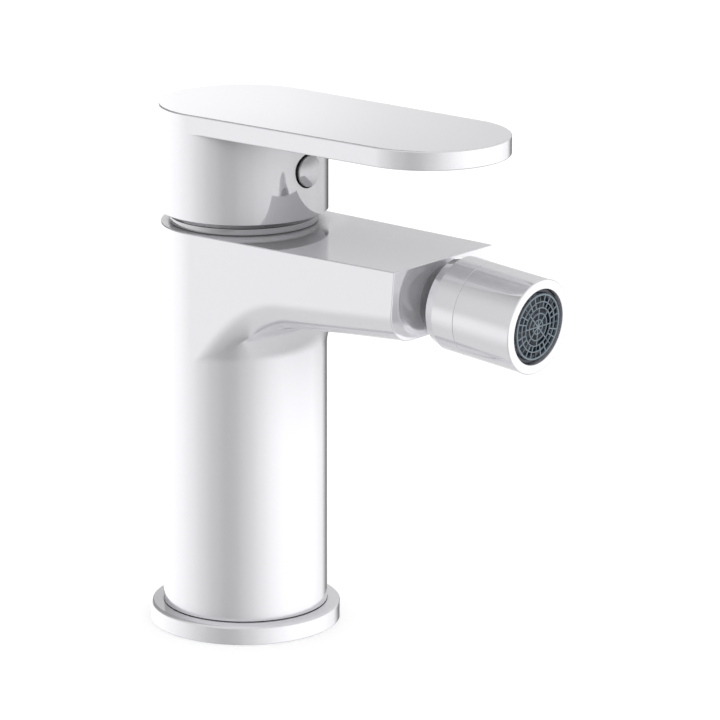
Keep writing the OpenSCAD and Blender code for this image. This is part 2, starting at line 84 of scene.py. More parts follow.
def colour(default, about):
    return bpy.props.FloatVectorProperty(
        default=default, description=about, subtype="COLOR", size=3, min=0, max=1)


class MixerBodySizes(bpy.types.PropertyGroup):
    column: length(0.045, "Diameter of the column")
    top: length(0.1123, "Height of the body's flat top")
    foot: length(0.003, "Height of the column's lower end, inside the flange")
    flange: length(0.052, "Diameter of the trim flange")
    flange_side: length(0.0045, "Height of the flange's upright side")
    flange_round: length(0.0008, "Radius of the flange's upper rim")
    flange_top: length(0.0054, "Height of the flange where it meets the column")
    foot_line: length(0.00025, "Width of the groove between the column and the flange")
    foot_line_depth: length(0.0012, "Depth of that groove")
    ledge: length(0.0185, "Radius of the opening in the column's foot")
    reach: length(0.0691, "From the column's axis to the spout's front edge")
    front_width: length(0.0406, "Width of the spout at its front edge")
    underside: length(0.0893, "Height of the underside where it leaves the column")
    rise: angle(3.7, "Slope of the underside toward the front")
    edge: length(0.009, "Radius of the lower long edges")
    blend: length(0.011, "Radius between the underside and the column")
    ease: length(0.0003, "Radius of the fine edges")
    socket_floor: length(0.088, "Height of the cartridge socket's floor")
    socket: length(0.019, "Radius of the cartridge socket")
    seal_land: length(0.0177, "Radius of the land that the housing's O-ring seals on")
    cavity_top: length(0.04, "Height of the cavity's roof")
    inlet_tap: length(0.0045, "Radius of the threaded part of an inlet")
    waterway: length(0.0035, "Radius of the bore above it")
    stud_tap: length(0.0034, "Radius of the hole for the fixing stud")
    port: length(0.0075, "Radius of the port that the ball stud sits in")
    cover: length(0.02015, "Radius of the cover ring")
    cover_bore: length(0.01755, "Radius of the cover ring's bore")
    cover_height: length(0.0024, "Height of the cover ring")


class MixerLeverSizes(bpy.types.PropertyGroup):
    cap: length(0.0229, "Radius of the lever's round cap")
    top: length(0.1447, "Height of the lever's top face")
    plate: length(0.0052, "Thickness of the plate")
    tip_distance: length(0.0634, "From the column's axis to the centre of the round end")
    tip: length(0.0219, "Radius of the round end")
    cap_low: length(0.1159, "Height where the cap's wall meets its chamfer")
    lip: length(0.02045, "Radius of the chamfer's lower edge")
    lip_z: length(0.1144, "Height of the chamfer's lower edge")
    ease: length(0.0004, "Radius of the plate's edges")
    wall: length(0.0016, "Thickness of the cap's wall")
    roof: length(0.0024, "Thickness of the cap's roof below the plate")
    pivot_y: length(0.0025, "Distance of the lift pivot behind the axis")
    pivot_z: length(0.118, "Height of the lift pivot")
    lift: angle(20, "Angle that the lever lifts through")
    lift_gap: length(0.00045, "Gap left over the body when the lever is lifted")
    hub: length(0.0075, "Radius of the hub that holds the stem")
    hub_rise: length(0.008, "Height of the hub's lower end above the pivot")
    screw_z: length(0.1289, "Height of the grub screw and its plug")
    boss: length(0.0054, "Radius of the boss round the grub screw")
    plug: length(0.0043, "Radius of the plug over the grub screw")
    plug_seat: length(0.0047, "Radius of the hole that the plug sits in")
    plug_depth: length(0.003, "Depth of that hole")
    plug_dome: length(0.0007, "Height of the plug's dome")


class MixerNozzleSizes(bpy.types.PropertyGroup):
    outside: length(0.0127, "Radius of the nozzle")
    axis_z: length(0.1018, "Height of the nozzle's axis at the end face")
    tilt: angle(4.8, "Downward tilt of the nozzle")
    reach: length(0.0322, "From the end face to the nozzle's mouth")
    seam: length(0.014, "From the end face to the seam of collar and barrel")
    collar: length(0.0045, "From the end face to the collar's back edge")
    collar_bevel: length(0.0007, "How far the bevel narrows the collar's back")
    collar_run: length(0.0026, "Length of the bevel at the collar's back")
    ball: length(0.0095, "Radius of the ball joint")
    neck: length(0.0055, "Radius of the ball stud's neck")
    bore: length(0.0034, "Radius of the ball stud's waterway")
    seat: length(0.0012, "Room round the ball for its seat")
    waist: length(0.00875, "Radius of the collar's opening round the ball")
    spigot: length(0.01175, "Radius of the barrel's spigot inside the collar")
    spigot_length: length(0.0033, "Length of that spigot")
    throat: length(0.0075, "Radius of the barrel's waterway")
    shoulder: length(0.024, "From the end face to the shoulder behind the aerator")
    mouth: length(0.01012, "Radius of the mouth")
    aerator_back: length(0.0252, "From the end face to the aerator's back")
    rim: length(0.00885, "Radius of the aerator's light rim")
    rim_width: length(0.0005, "Width of that rim")
    bar: length(0.0003, "Width of the grille's bars")
    bar_depth: length(0.0003, "Depth of the grille's bars")
    spokes: bpy.props.IntProperty(default=24, min=8, max=48, description="Short spokes of the grille")


class MixerFinishes(bpy.types.PropertyGroup):
    chrome: colour((0.862, 0.856, 0.886), "Reflected colour of the polished chrome")
    chrome_metal: fraction(0.62, "Share of the chrome's light that is mirrored")
    chrome_roughness: fraction(0.035, "Roughness of the polished chrome")
    # The next two fields set painted shade: ambient occlusion darkens the plating's base colour under
    # overhangs
    shade: length(0.04, "Distance that an overhang shades the plating below it")
    shade_dark: fraction(0.76, "Share of light that the plating loses under an overhang")
    # The next fields set painted shade in recesses: ambient occlusion darkens the plating's base colour there
    # and makes it rougher, above a height
    recess: length(0.008, "Distance within which a corner counts as a recess")
    recess_low: length(0.0053, "Height from which recesses count, below the flange's top")
    recess_high: length(0.006, "Height above which recesses count in full")
    recess_curve: number(2.5, "Power that keeps the loss of light to a recess's depth")
    recess_dark: fraction(0.7, "Share of light that the plating loses deep in a recess")
    recess_dull: fraction(0.45, "Roughness that the plating gains in a recess")
    rubber: colour((0.018, 0.018, 0.019), "Colour of the seals")
    cartridge: colour((0.75, 0.74, 0.70), "Colour of the cartridge's plastic")
    driver: colour((0.22, 0.24, 0.26), "Colour of the disc driver")
    ceramic: colour((0.80, 0.79, 0.76), "Colour of the discs")
    brass: colour((0.80, 0.58, 0.28), "Colour of the retaining nut")
    steel: colour((0.60, 0.60, 0.61), "Colour of the pin, stem and screw")
    slip: colour((0.85, 0.85, 0.83), "Colour of the slip ring")
    aerator: colour((0.012, 0.030, 0.052), "Colour of the aerator's body")
    grille: colour((0.18, 0.25, 0.32), "Colour of the aerator's grille")


class MixerStudio(bpy.types.PropertyGroup):
    floor: colour((0.82, 0.82, 0.82), "Colour of the floor")
    glow: number(0.34, "Light that lifts the seen floor to white")
    level: number(0.95, "Strength of the even light")
    bright: number(1.42, "Brightness of the white sweep that the chrome reflects")


def unit(v):
    return v / np.linalg.norm(v, axis=-1, keepdims=True)


def turned(at):
    """Horizontal directions at these angles from -Y toward +X, in radians."""
    at = np.asarray(at, float)
    return np.stack([np.sin(at), -np.cos(at), np.zeros_like(at)], -1)


def shares(steps, like):
    """Even shares from 0 to 1, along a new first axis of an array like this one."""
    return np.linspace(0, 1, steps + 1).reshape((-1,) + (1,) * like.ndim)


def between(a, b, steps):
    """Directions from a to b in even steps of angle, as a first new axis."""
    a, b = np.broadcast_arrays(a, b)
    whole = np.arccos(np.clip((a * b).sum(-1, keepdims=True), -1, 1))
    part = shares(steps, a)
    low = np.maximum(np.sin(whole), 1e-9)
    return unit((np.sin((1 - part) * whole) * a + np.sin(part * whole) * b) / low)


def spread(a, b, steps):
    """Points from a to b in even steps, as a first new axis."""
    a, b = np.broadcast_arrays(a, b)
    return a + (b - a) * shares(steps, a)


def welded(mesh):
    """Merges what touches and closes the seams."""
    work = bmesh.new()
    work.from_mesh(mesh)
    bmesh.ops.remove_doubles(work, verts=work.verts, dist=WELD)
    bmesh.ops.dissolve_degenerate(work, edges=work.edges, dist=WELD)
    bmesh.ops.holes_fill(work, edges=[e for e in work.edges if e.is_boundary], sides=12)
    loose = [v for v in work.verts if not v.link_faces]
    bmesh.ops.delete(work, geom=loose, context="VERTS")
    work.to_mesh(mesh)
    work.free()


def placed(name, data):
    """An object with this data, in the scene."""
    made = bpy.data.objects.new(name, data)
    bpy.context.scene.collection.objects.link(made)
    return made


class Shell:
    """Patches of surface with their exact normals, welded into one mesh at the end."""

    def __init__(self, hollow=False):
        self.points, self.normals, self.faces = [], [], []
        self.count = 0
        self.sign = -1 if hollow else 1

    def patch(self, points, normals, faces):
        points = points.reshape(-1, 3)
        normals = normals.reshape(-1, 3)
        corners = points[faces]
        area = np.cross(corners[:, 2] - corners[:, 0], corners[:, -1] - corners[:, 1])
        away = (area * normals[faces].sum(1)).sum(-1) < 0
        faces = np.where(away[:, None], faces[:, ::-1], faces)
        self.faces += (faces + self.count).tolist()
        self.points.append(points)
        self.normals.append(normals * self.sign)
        self.count += len(points)

    def grid(self, points, normals, mirror=False):
        points, normals = np.broadcast_arrays(points, normals)
        k = np.arange(points.shape[0] * points.shape[1]).reshape(points.shape[:2])
        quads = np.stack([k[:-1, :-1], k[1:, :-1], k[1:, 1:], k[:-1, 1:]], -1).reshape(-1, 4)
        self.patch(points, normals, quads)
        if mirror:
            self.patch(points * OTHER_SIDE, normals * OTHER_SIDE, quads)

    def fill(self, loops, normal):
        """A flat face with holes: the first loop is its outline."""
        normal = unit(np.asarray(normal, float))
        level = abs(normal[2]) > 0.9
        side = unit(np.cross(normal, ACROSS if level else UP))
        other = np.cross(normal, side)
        points = np.concatenate(loops)
        flat = np.stack([points @ side, points @ other], -1)
        edges, start = [], 0
        for loop in loops:
            n = len(loop)
            edges += [(start + i, start + (i + 1) % n) for i in range(n)]
            start += n
        # Triangles are found in millimetres, where the tolerance is fine enough, and kept inside the loops
        near = 1e-6
        made = delaunay_2d_cdt([tuple(p) for p in flat * MM], edges, [], 0, near)
        spots = np.array([tuple(v) for v in made[0]]) / MM
        faces = np.array([f for f in made[2] if len(f) == 3])
        middle = spots[faces].mean(1)
        a, b = flat[[e[0] for e in edges]], flat[[e[1] for e in edges]]
        straddles = (a[:, 1] > middle[:, 1:2]) != (b[:, 1] > middle[:, 1:2])
        rise = np.where(b[:, 1] == a[:, 1], 1, b[:, 1] - a[:, 1])
        cross = a[:, 0] + (middle[:, 1:2] - a[:, 1]) / rise * (b[:, 0] - a[:, 0])
        inside = (straddles & (middle[:, :1] < cross)).sum(1) % 2 == 1
        depth = (points @ normal).mean()
        solid = spots[:, :1] * side + spots[:, 1:] * other + depth * normal
        self.patch(solid, np.broadcast_to(normal, solid.shape), faces[inside])

    def lathe(self, outline, place=None, segments=128):
        """Turns an outline of (radius, height) points and normals about Z, then moves it to its place."""
        at, out = outline
        around = turned(np.linspace(0, 2 * math.pi, segments + 1))[None]
        points = at[:, None, :1] * around + at[:, None, 1:] * UP
        normals = out[:, None, :1] * around + out[:, None, 1:] * UP
        if place is not None:
            turn, origin = place
            points = points @ turn.T + origin
            normals = normals @ turn.T
        self.grid(points, normals)

    def mesh(self, name):
        mesh = bpy.data.meshes.new(name)
        mesh.from_pydata(np.concatenate(self.points).tolist(), [], self.faces)
        exact = mesh.attributes.new(EXACT, "FLOAT_VECTOR", "CORNER")
        corner = np.empty(len(mesh.loops), np.int32)
        mesh.loops.foreach_get("vertex_index", corner)
        exact.data.foreach_set("vector", np.concatenate(self.normals)[corner].astype(np.float32).ravel())
        welded(mesh)
        return mesh

    def object(self, name):
        return placed(name, self.mesh(name))


def outline(items, closed=False):
    """Points and outward normals of an outline in the (radius, height) plane.

    It is walked with the material on its left. An item is a corner (radius, height) or
    (radius, height, ease), or an arc ("arc", radius, height, size, from, to, side) in degrees.
    """
    # Degrees of turn to one step, in an arc and in an eased corner
    arc_step, ease_step = 3, 12
    pieces = []
    for item in items:
        if item[0] == "arc":
            steps = int(abs(item[5] - item[4]) / arc_step)
            at = np.radians(np.linspace(item[4], item[5], max(4, steps)))
            way = np.stack([np.cos(at), np.sin(at)], -1)
            pieces.append((np.array(item[1:3]) + item[3] * way, item[6] * way))
        else:
            pieces.append((np.array([item[:2]], float), item[2] if len(item) > 2 else 0))
    points, normals = [], []
    count = len(pieces)
    for i, (at, extra) in enumerate(pieces):
        before = pieces[i - 1][0][-1] if closed or i else None
        after = pieces[(i + 1) % count][0][0] if closed or i < count - 1 else None
        u = None if before is None else unit(at[0] - before)
        v = None if after is None else unit(after - at[-1])
        turn_u = None if u is None else np.array([u[1], -u[0]])
        turn_v = None if v is None else np.array([v[1], -v[0]])
        if not np.isscalar(extra):
            if u is not None:
                points.append(at[:1])
                normals.append(turn_u[None])
            points.append(at)
            normals.append(extra)
            if v is not None:
                points.append(at[-1:])
                normals.append(turn_v[None])
        elif extra and u is not None and v is not None:
            bend = u[0] * v[1] - u[1] * v[0]
            whole = math.acos(max(-1, min(1, float(u @ v))))
            side = 1 if bend > 0 else -1
            start = at[0] - u * extra * math.tan(whole / 2)
            way = between(turn_u, turn_v, max(2, math.ceil(math.degrees(whole) / ease_step)))
            points.append(start - side * extra * turn_u + side * extra * way)
            normals.append(way)
        else:
            for turn in (turn_u, turn_v):
                if turn is not None:
                    points.append(at[:1])
                    normals.append(turn[None])
    points, normals = np.concatenate(points), np.concatenate(normals)
    if closed:
        points, normals = np.concatenate([points, points[:1]]), np.concatenate([normals, normals[:1]])
    return points, normals


def lathed(items, place=None, segments=128, closed=True, hollow=False):
    """A shell turned from the corners and arcs of an outline."""
    shell = Shell(hollow)
    shell.lathe(outline(items, closed), place, segments)
    return shell


def latitude(height, radius):
    """The angle, in degrees, at which a ball of this radius has this height above its centre."""
    return math.degrees(math.asin(height / radius))


def both(half_loop):
    """A closed loop from the half at +X, walked from the middle plane to the middle plane."""
    return np.concatenate([half_loop, half_loop[-2:0:-1] * OTHER_SIDE])


def evaluated(made):
    """A new mesh of the object, with its modifiers applied."""
    bpy.context.view_layer.update()
    return bpy.data.meshes.new_from_object(made.evaluated_get(bpy.context.evaluated_depsgraph_get()))


def discard(made):
    """Removes an object together with its mesh."""
    shape = made.data
    bpy.data.objects.remove(made)
    bpy.data.meshes.remove(shape)


def cut(target, hollow, name):
    """Takes the hollow's shape out of the target; its normals already point into the hole."""
    tool = hollow.object(name)
    modifier = target.modifiers.new(name, "BOOLEAN")
    modifier.operation = "DIFFERENCE"
    modifier.solver = "EXACT"
    modifier.object = tool
    made = evaluated(target)
    target.modifiers.clear()
    welded(made)
    before = target.data
    target.data = made
    bpy.data.meshes.remove(before)
    discard(tool)


def bore(target, name, items, place=None, segments=128, closed=False):
    """Cuts a turned hole into the target."""
    cut(target, lathed(items, place, segments, closed, hollow=True), name)


def join(first, *others):
    """Takes others into the first object; their surfaces stay as they are."""
    work = bmesh.new()
    for o in (first, *others):
        work.from_mesh(o.data)
    work.to_mesh(first.data)
    work.free()
    for o in others:
        discard(o)


def settle(made, body, material, slot, *nodes):
    """Gives the piece its exact normals and finish, and sets it on its body."""
    mesh = made.data
    mesh.shade_smooth()
    if EXACT in mesh.attributes:
        way = np.empty(len(mesh.loops) * 3, np.float32)
        mesh.attributes[EXACT].data.foreach_get("vector", way)
        way = way.reshape(-1, 3)
        # Where an exact normal is missing, a zero leaves it to the shading
        size = np.linalg.norm(way, axis=1, keepdims=True)
        way = np.where(size > 0.1, way / np.maximum(size, 1e-6), 0)
        mesh.attributes.remove(mesh.attributes[EXACT])
        mesh.normals_split_custom_set(way.tolist())
    mesh.materials.clear()
    mesh.materials.append(material)
    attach(made, body)
    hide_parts(*nodes)


def nozzle_place(s, n):
    """Turn and origin of the nozzle's own frame: its Z runs forward from the spout's end face."""
    lean = math.tan(n.tilt)
    c, d = math.cos(n.tilt), math.sin(n.tilt)
    turn = np.array([[1, 0, 0], [0, -d, -c], [0, c, -d]])
    return turn, np.array([0, -s.reach + (s.top - n.axis_z) * lean, n.axis_z])


def straight(axis_x, axis_y):
    """The place of an upright axis."""
    return np.eye(3), np.array([axis_x, axis_y, 0.0])


def body_outside(s, n):
    """The column and spout, with the saddle between them in closed form."""
    shell = Shell()
    r = s.column / 2
    ease = s.ease
    half = s.front_width / 2
    narrowing = math.asin(r / math.hypot(s.reach, half)) - math.atan2(half, s.reach)
    out = turned(math.pi / 2 - narrowing)
    along = turned(-narrowing)
    slope, lean = math.tan(s.rise), math.tan(n.tilt)
    face = np.array([0, -math.cos(n.tilt), -math.sin(n.tilt)])
    # Numbers of steps in the meshes of the patches
    saddle, run, arc, wide, tall, low, fine, roof_steps, back_steps = 28, 8, 14, 20, 8, 10, 4, 10, 64

    def tip(points, normals):
        """Tilts level shapes so that the underside rises toward the front."""
        points, normals = np.broadcast_arrays(points, normals)
        points, normals = points.copy(), normals.copy()
        points[..., 2] -= slope * (points[..., 1] + r)
        normals[..., 1] += slope * normals[..., 2]
        return points, unit(normals)

    def to_face(points, way):
        """Where lines from these points along a direction meet the leaning end face."""
        gap = -s.reach + (s.top - points[..., 2]) * lean - points[..., 1]
        return points + way * (gap / (way[..., 1] + way[..., 2] * lean))[..., None]

    # Stations round the saddle, where a ball inside the edge rolls against one outside
    turn = np.radians(np.linspace(0, 90, saddle + 1))[:, None]
    spine_r = r + s.blend - (s.edge + s.blend) * np.cos(turn)
    inset = r - s.edge
    spine = inset * out + np.sqrt(spine_r ** 2 - inset ** 2) * along
    spine[:, 2] = s.underside - s.blend + ((s.edge + s.blend) * np.sin(turn))[:, 0]
    aim = spine * [1, 1, 0] / spine_r * np.cos(turn) - UP * np.sin(turn)
    around = np.arctan2(spine[:, 0], -spine[:, 1])

    ways = between(out, aim, arc)
    edge_at, edge_out = tip(spine + s.edge * ways, ways)
    part = np.linspace(1, 0, wide + 1)[:, None]
    sweep = around * part
    blend_r = r + s.blend - s.blend * np.cos(turn)
    blend_at = turned(sweep) * blend_r + UP * (s.underside - s.blend + s.blend * np.sin(turn))
    blend_at, blend_out = tip(blend_at, turned(sweep) * np.cos(turn) - UP * np.sin(turn))

    wall_low = edge_at[0]
    wall_top = wall_low * [1, 1, 0] + UP * (s.top - ease)
    wall_at = spread(wall_low, wall_top, tall)
    rise_out = between(out, UP, fine)[:, None]
    brow_at = wall_top - ease * out + ease * rise_out

    # The straight run from the saddle to the end face
    onward = unit(along - UP * slope * along[1])
    end_edge = to_face(edge_at[:, -1], onward)
    end_wall_low = end_edge[0]
    end_z = spread(end_wall_low[2], s.top - ease, tall)[:, None]
    end_y = -s.reach + (s.top - end_z) * lean
    end_x = (r - end_y * out[1]) / out[0]
    end_wall = np.concatenate([end_x, end_y, end_z], -1)
    end_brow = to_face(brow_at[:, -1], along)
    down = blend_out[0, -1]
    end_under = end_edge[-1] * np.concatenate([part, np.ones((wide + 1, 2))], -1)
    end_roof = spread(end_brow[-1], end_brow[-1] * [0, 1, 1], roof_steps)

    def rim(at, way):
        """The eased edge between a patch and the end face: its start, its curl and the curl's normals."""
        centre = at - ease * (way + face) / (1 + (way * face).sum(-1, keepdims=True))
        curl_out = between(np.broadcast_to(way, at.shape), face, fine)
        return centre + ease * way, centre + ease * curl_out, curl_out

    for start, end, way in (
        (brow_at[:, -1], end_brow, rise_out[:, 0]), (wall_at[:, -1], end_wall, out),
        (edge_at[:, -1], end_edge, edge_out[:, -1]), (blend_at[:, -1], end_under, down),
        (None, end_roof, UP),
    ):
        stop, curl, curl_out = rim(end, way)
        if start is not None:
            shell.grid(spread(start, stop, run), curl_out[:1], True)
        shell.grid(curl, curl_out, True)
    shell.grid(brow_at, rise_out, True)
    shell.grid(wall_at, out, True)
    shell.grid(edge_at, edge_out, True)
    shell.grid(blend_at, blend_out, True)

    # The round of the column behind the spout, and below it
    back = np.linspace(math.pi / 2 - narrowing, math.pi, back_steps + 1)
    ring_out = turned(back)
    foot = ring_out * r + UP * s.foot
    shoulder = ring_out * r + UP * wall_low[0, 2]
    crown = ring_out * r + UP * (s.top - ease)
    shell.grid(spread(foot, shoulder, low), ring_out[None], True)
    shell.grid(spread(shoulder, crown, tall), ring_out[None], True)
    curl = between(ring_out, UP, fine)
    shell.grid(crown - ease * ring_out + ease * curl, curl, True)
    front_out = turned(sweep[:, 0])
    front_top = blend_at[:, 0]
    shell.grid(spread(front_out * r + UP * s.foot, front_top, low), front_out[None], True)

    roof_line = rim(end_roof, UP)[0]
    side_line = spread(brow_at[-1, -1], roof_line[0], run)[1:-1]
    crown_line = (crown - ease * ring_out + ease * UP)[::-1]
    shell.fill([both(np.concatenate([crown_line, brow_at[-1, 1:], side_line, roof_line]))], UP)
    lines = [rim(at, way)[1][-1] for at, way in (
        (end_roof[::-1], UP), (end_brow[::-1], rise_out[::-1, 0]), (end_wall[::-1], out),
        (end_edge, edge_out[:, -1]), (end_under, down))]
    loop = np.concatenate(lines)
    keep = np.concatenate([[True], np.linalg.norm(np.diff(loop, axis=0), axis=1) > 2 * WELD])
    shell.fill([both(loop[keep])], face)
    foot_line = np.concatenate([foot[::-1], (front_out * r + UP * s.foot)[1:]])
    shell.fill([both(foot_line)], -UP)
    return shell


# Heights above the socket's floor where its seal land begins and ends
LAND_LOW, LAND_HIGH = 0.015, 0.018
# Places and depths of the water inlets and of the hole for the fixing stud
INLET_X, INLET_Y, INLET_DEPTH, STUD_Y, STUD_DEPTH = 0.0064, -0.0026, 0.012, 0.0095, 0.014
# Port of the ball stud: its depth, and the radius and depth of the rebate at its mouth
PORT_DEPTH, REBATE, REBATE_DEPTH = 0.011, 0.00885, 0.0015
# How far the foot's groove reaches below the flange's top
GROOVE_BELOW = 0.0004
# Radii and depth of the flange's groove for its gasket
GASKET_IN, GASKET_OUT, GASKET_DEPTH = 0.0198, 0.0242, 0.0016
# Cover ring: chamfers of its foot and of its top, and the width of its top face
RING_FOOT, RING_SLOPE, RING_TOP = 0.00025, 0.0006, 0.00085


class MIXER_OT_body(bpy.types.Operator):
    """Builds the cast body: column, spout, saddle, sockets and bores"""
    bl_idname = "mixer.body"
    bl_label = "Body"

    def execute(self, context):
        s, n = context.scene.mixer_body, context.scene.mixer_nozzle
        made = body_outside(s, n).object("body_shell")
        floor, roof, top = s.socket_floor, s.cavity_top, s.top + 2 * PAST
        low, high, foot = floor + LAND_LOW, floor + LAND_HIGH, roof - PAST
        bore(made, "socket", [
            (0, floor), (s.socket, floor), (s.socket, low), (s.seal_land, low), (s.seal_land, high),
            (s.socket, high), (s.socket, top), (0, top)])
        bore(made, "pocket", [(0, 0), (s.ledge, 0), (s.ledge, roof), (0, roof)])
        deep, stud_top = roof + INLET_DEPTH, roof + STUD_DEPTH
        inlet = [
            (0, foot), (s.inlet_tap, foot), (s.inlet_tap, deep), (s.waterway, deep),
            (s.waterway, floor + PAST), (0, floor + PAST)]
        stud = [(0, foot), (s.stud_tap, foot), (s.stud_tap, stud_top), (0, stud_top)]
        for name, x, y, shape in (
            ("inlet_left", -INLET_X, INLET_Y, inlet), ("inlet_right", INLET_X, INLET_Y, inlet),
            ("stud_hole", 0, STUD_Y, stud),
        ):
            bore(made, name, shape, straight(x, y), segments=48)
        # A fine groove parts the column's foot from the flange
        inner, outer = s.column / 2 - s.foot_line_depth, s.column / 2 + PAST
        below, above = s.flange_top - GROOVE_BELOW, s.flange_top + s.foot_line
        groove = [(inner, below), (outer, below), (outer, above), (inner, above)]
        bore(made, "foot_groove", groove, closed=True)
        bore(made, "port", [
            (0, -PORT_DEPTH), (s.port, -PORT_DEPTH), (s.port, -REBATE_DEPTH), (REBATE, -REBATE_DEPTH),
            (REBATE, PAST), (0, PAST)], nozzle_place(s, n), segments=96)
        settle(made, "root", chrome(), "chrome", "body_casting")
        return {"FINISHED"}


class MIXER_OT_rings(bpy.types.Operator):
    """Builds the turned rings of the column: trim flange and cover ring"""
    bl_idname = "mixer.rings"
    bl_label = "Flange and cover ring"

    def execute(self, context):
        s = context.scene.mixer_body
        r, inner = s.flange / 2, s.column / 2 + OFF
        flange = lathed([
            (s.ledge, 0, EASED), (GASKET_IN, 0), (GASKET_IN, GASKET_DEPTH), (GASKET_OUT, GASKET_DEPTH),
            (GASKET_OUT, 0), (r, 0, SOFT),
            ("arc", r - s.flange_round, s.flange_side, s.flange_round, 0, 90, 1),
            (inner, s.flange_top, KEEN), (inner, s.foot), (s.ledge, s.foot, EASED)], segments=192)
        settle(flange.object("flange"), "root", chrome(), "chrome", "base_ring")
        low, out, inside, high = s.top, s.cover, s.cover_bore, s.top + s.cover_height
        ring = lathed([
            (inside, low), (out - RING_FOOT, low), (out, low + RING_FOOT, EASED),
            (out, high - RING_SLOPE, SOFT), (out - RING_SLOPE, high - KEEN, SOFT),
            (inside + RING_TOP, high, EASED), (inside, high, EASED)], segments=192)
        # The ring takes the lever's plating, whose painted shade counts every piece round it
        settle(ring.object("neck_ring"), "root", chrome("lever"), "chrome", "cover_ring")
        return {"FINISHED"}


def lever_outside(v):
    """The cap and plate as one shell, hollow below, before its reliefs are cut."""
    shell = Shell()
    cap, tip, gap, ease = v.cap, v.tip, v.tip_distance, v.ease
    bottom = v.top - v.plate
    side_at = math.acos((cap - tip) / gap)
    # Numbers of steps in the meshes of the patches
    fine, tall, thin, back_steps, run, tip_steps, below_steps = 5, 8, 3, 64, 16, 60, 40
    back = np.linspace(math.pi, side_at, back_steps + 1)
    front = np.linspace(side_at, 0, tip_steps + 1)
    centre = np.array([0, -gap, 0.0])

    def plan(inset):
        """The outline from above, drawn in by this much, from behind the cap to the plate's end."""
        rear = turned(back) * (cap - inset)
        nose = centre + turned(front) * (tip - inset)
        part = (np.linspace(0, 1, run + 1)[1:-1] ** 2)[:, None]
        return np.concatenate([rear, rear[-1] + (nose[0] - rear[-1]) * part, nose])

    way = turned(np.concatenate([back, np.full(run - 1, side_at), front]))
    rear = len(back)
    # The plate's lower edge fades in where the plate leaves the cap
    fade = np.clip(np.linalg.norm(plan(0), axis=1) - cap - 2 * HAIR, 0, ease)[:, None]
    fade[:rear] = 0
    curl = between(way, UP, fine)
    shell.grid(plan(ease) + UP * (v.top - ease) + ease * curl, curl, True)
    shell.grid(spread(plan(0) + UP * (bottom + fade), plan(0) + UP * (v.top - ease), thin), way[None], True)
    curl = between(-UP, way, fine)
    free = slice(rear - 1, None)
    low_edge = plan(0) - way * fade + UP * (bottom + fade) + fade * curl
    shell.grid(low_edge[:, free], curl[:, free], True)

    below = np.linspace(side_at, 0, below_steps + 1)
    # The hollow: its roof with a chamfered corner, its wall, and the slope that thickens the lip
    inner, roof = cap - v.wall, bottom - v.roof
    corner, corner_ease, slope_top, slope_foot = 0.001, 0.0005, 0.0016, 0.0004
    bowl, bowl_out = outline([
        (0, roof), (inner - corner, roof, corner_ease), (inner, roof - corner, corner_ease),
        (inner, v.cap_low + slope_top), (v.lip, v.cap_low + slope_foot), (v.lip, v.lip_z)])
    for at in (back, below):
        out = turned(at)
        top = out * cap + UP * bottom
        foot = out * cap + UP * v.cap_low
        lip = out * v.lip + UP * v.lip_z
        shell.grid(spread(top, foot, tall), out[None], True)
        slant = unit(out * (v.cap_low - v.lip_z) - UP * (cap - v.lip))
        shell.grid(spread(foot, lip, 1), slant[None], True)
        inside = [side[:, None, :1] * out[None] + side[:, None, 1:] * UP for side in (bowl, bowl_out)]
        shell.grid(*inside, True)

    shell.fill([both(plan(ease) + UP * v.top)], UP)
    arc = (turned(below[1:]) * cap + UP * bottom)[::-1]
    shell.fill([both(np.concatenate([arc, low_edge[0, free]]))], -UP)
    return shell


# Relief of the skirt: half width, and where it begins, ends and reaches down to, along its own plane
RELIEF_WIDTH, RELIEF_START, RELIEF_END, RELIEF_DEPTH = 0.04, 0.003, 0.03, 0.02
# Clearing of the thick lip at the rear: its height over the cap's foot, the angle left at each side, steps
CLEARING_TOP, CLEARING_SIDE, CLEARING_STEPS = 0.0015, 0.14, 80
# Along the screw's axis: the boss's start, its setback from the cap's face, and the screw hole's radius
BOSS_START, BOSS_BACK, SCREW_HOLE = 0.0065, 0.0008, 0.0025
# Plug: how far it stands out, its length behind the cap's face, and its stem's radius
PLUG_OUT, PLUG_BACK, PLUG_STEM = 0.0006, 0.0064, 0.0023
# The step behind its head, the head's thickness, and the radius of the head's edge
PLUG_STEP, PLUG_HEAD, PLUG_EDGE = 0.0007, 0.0005, 0.00015


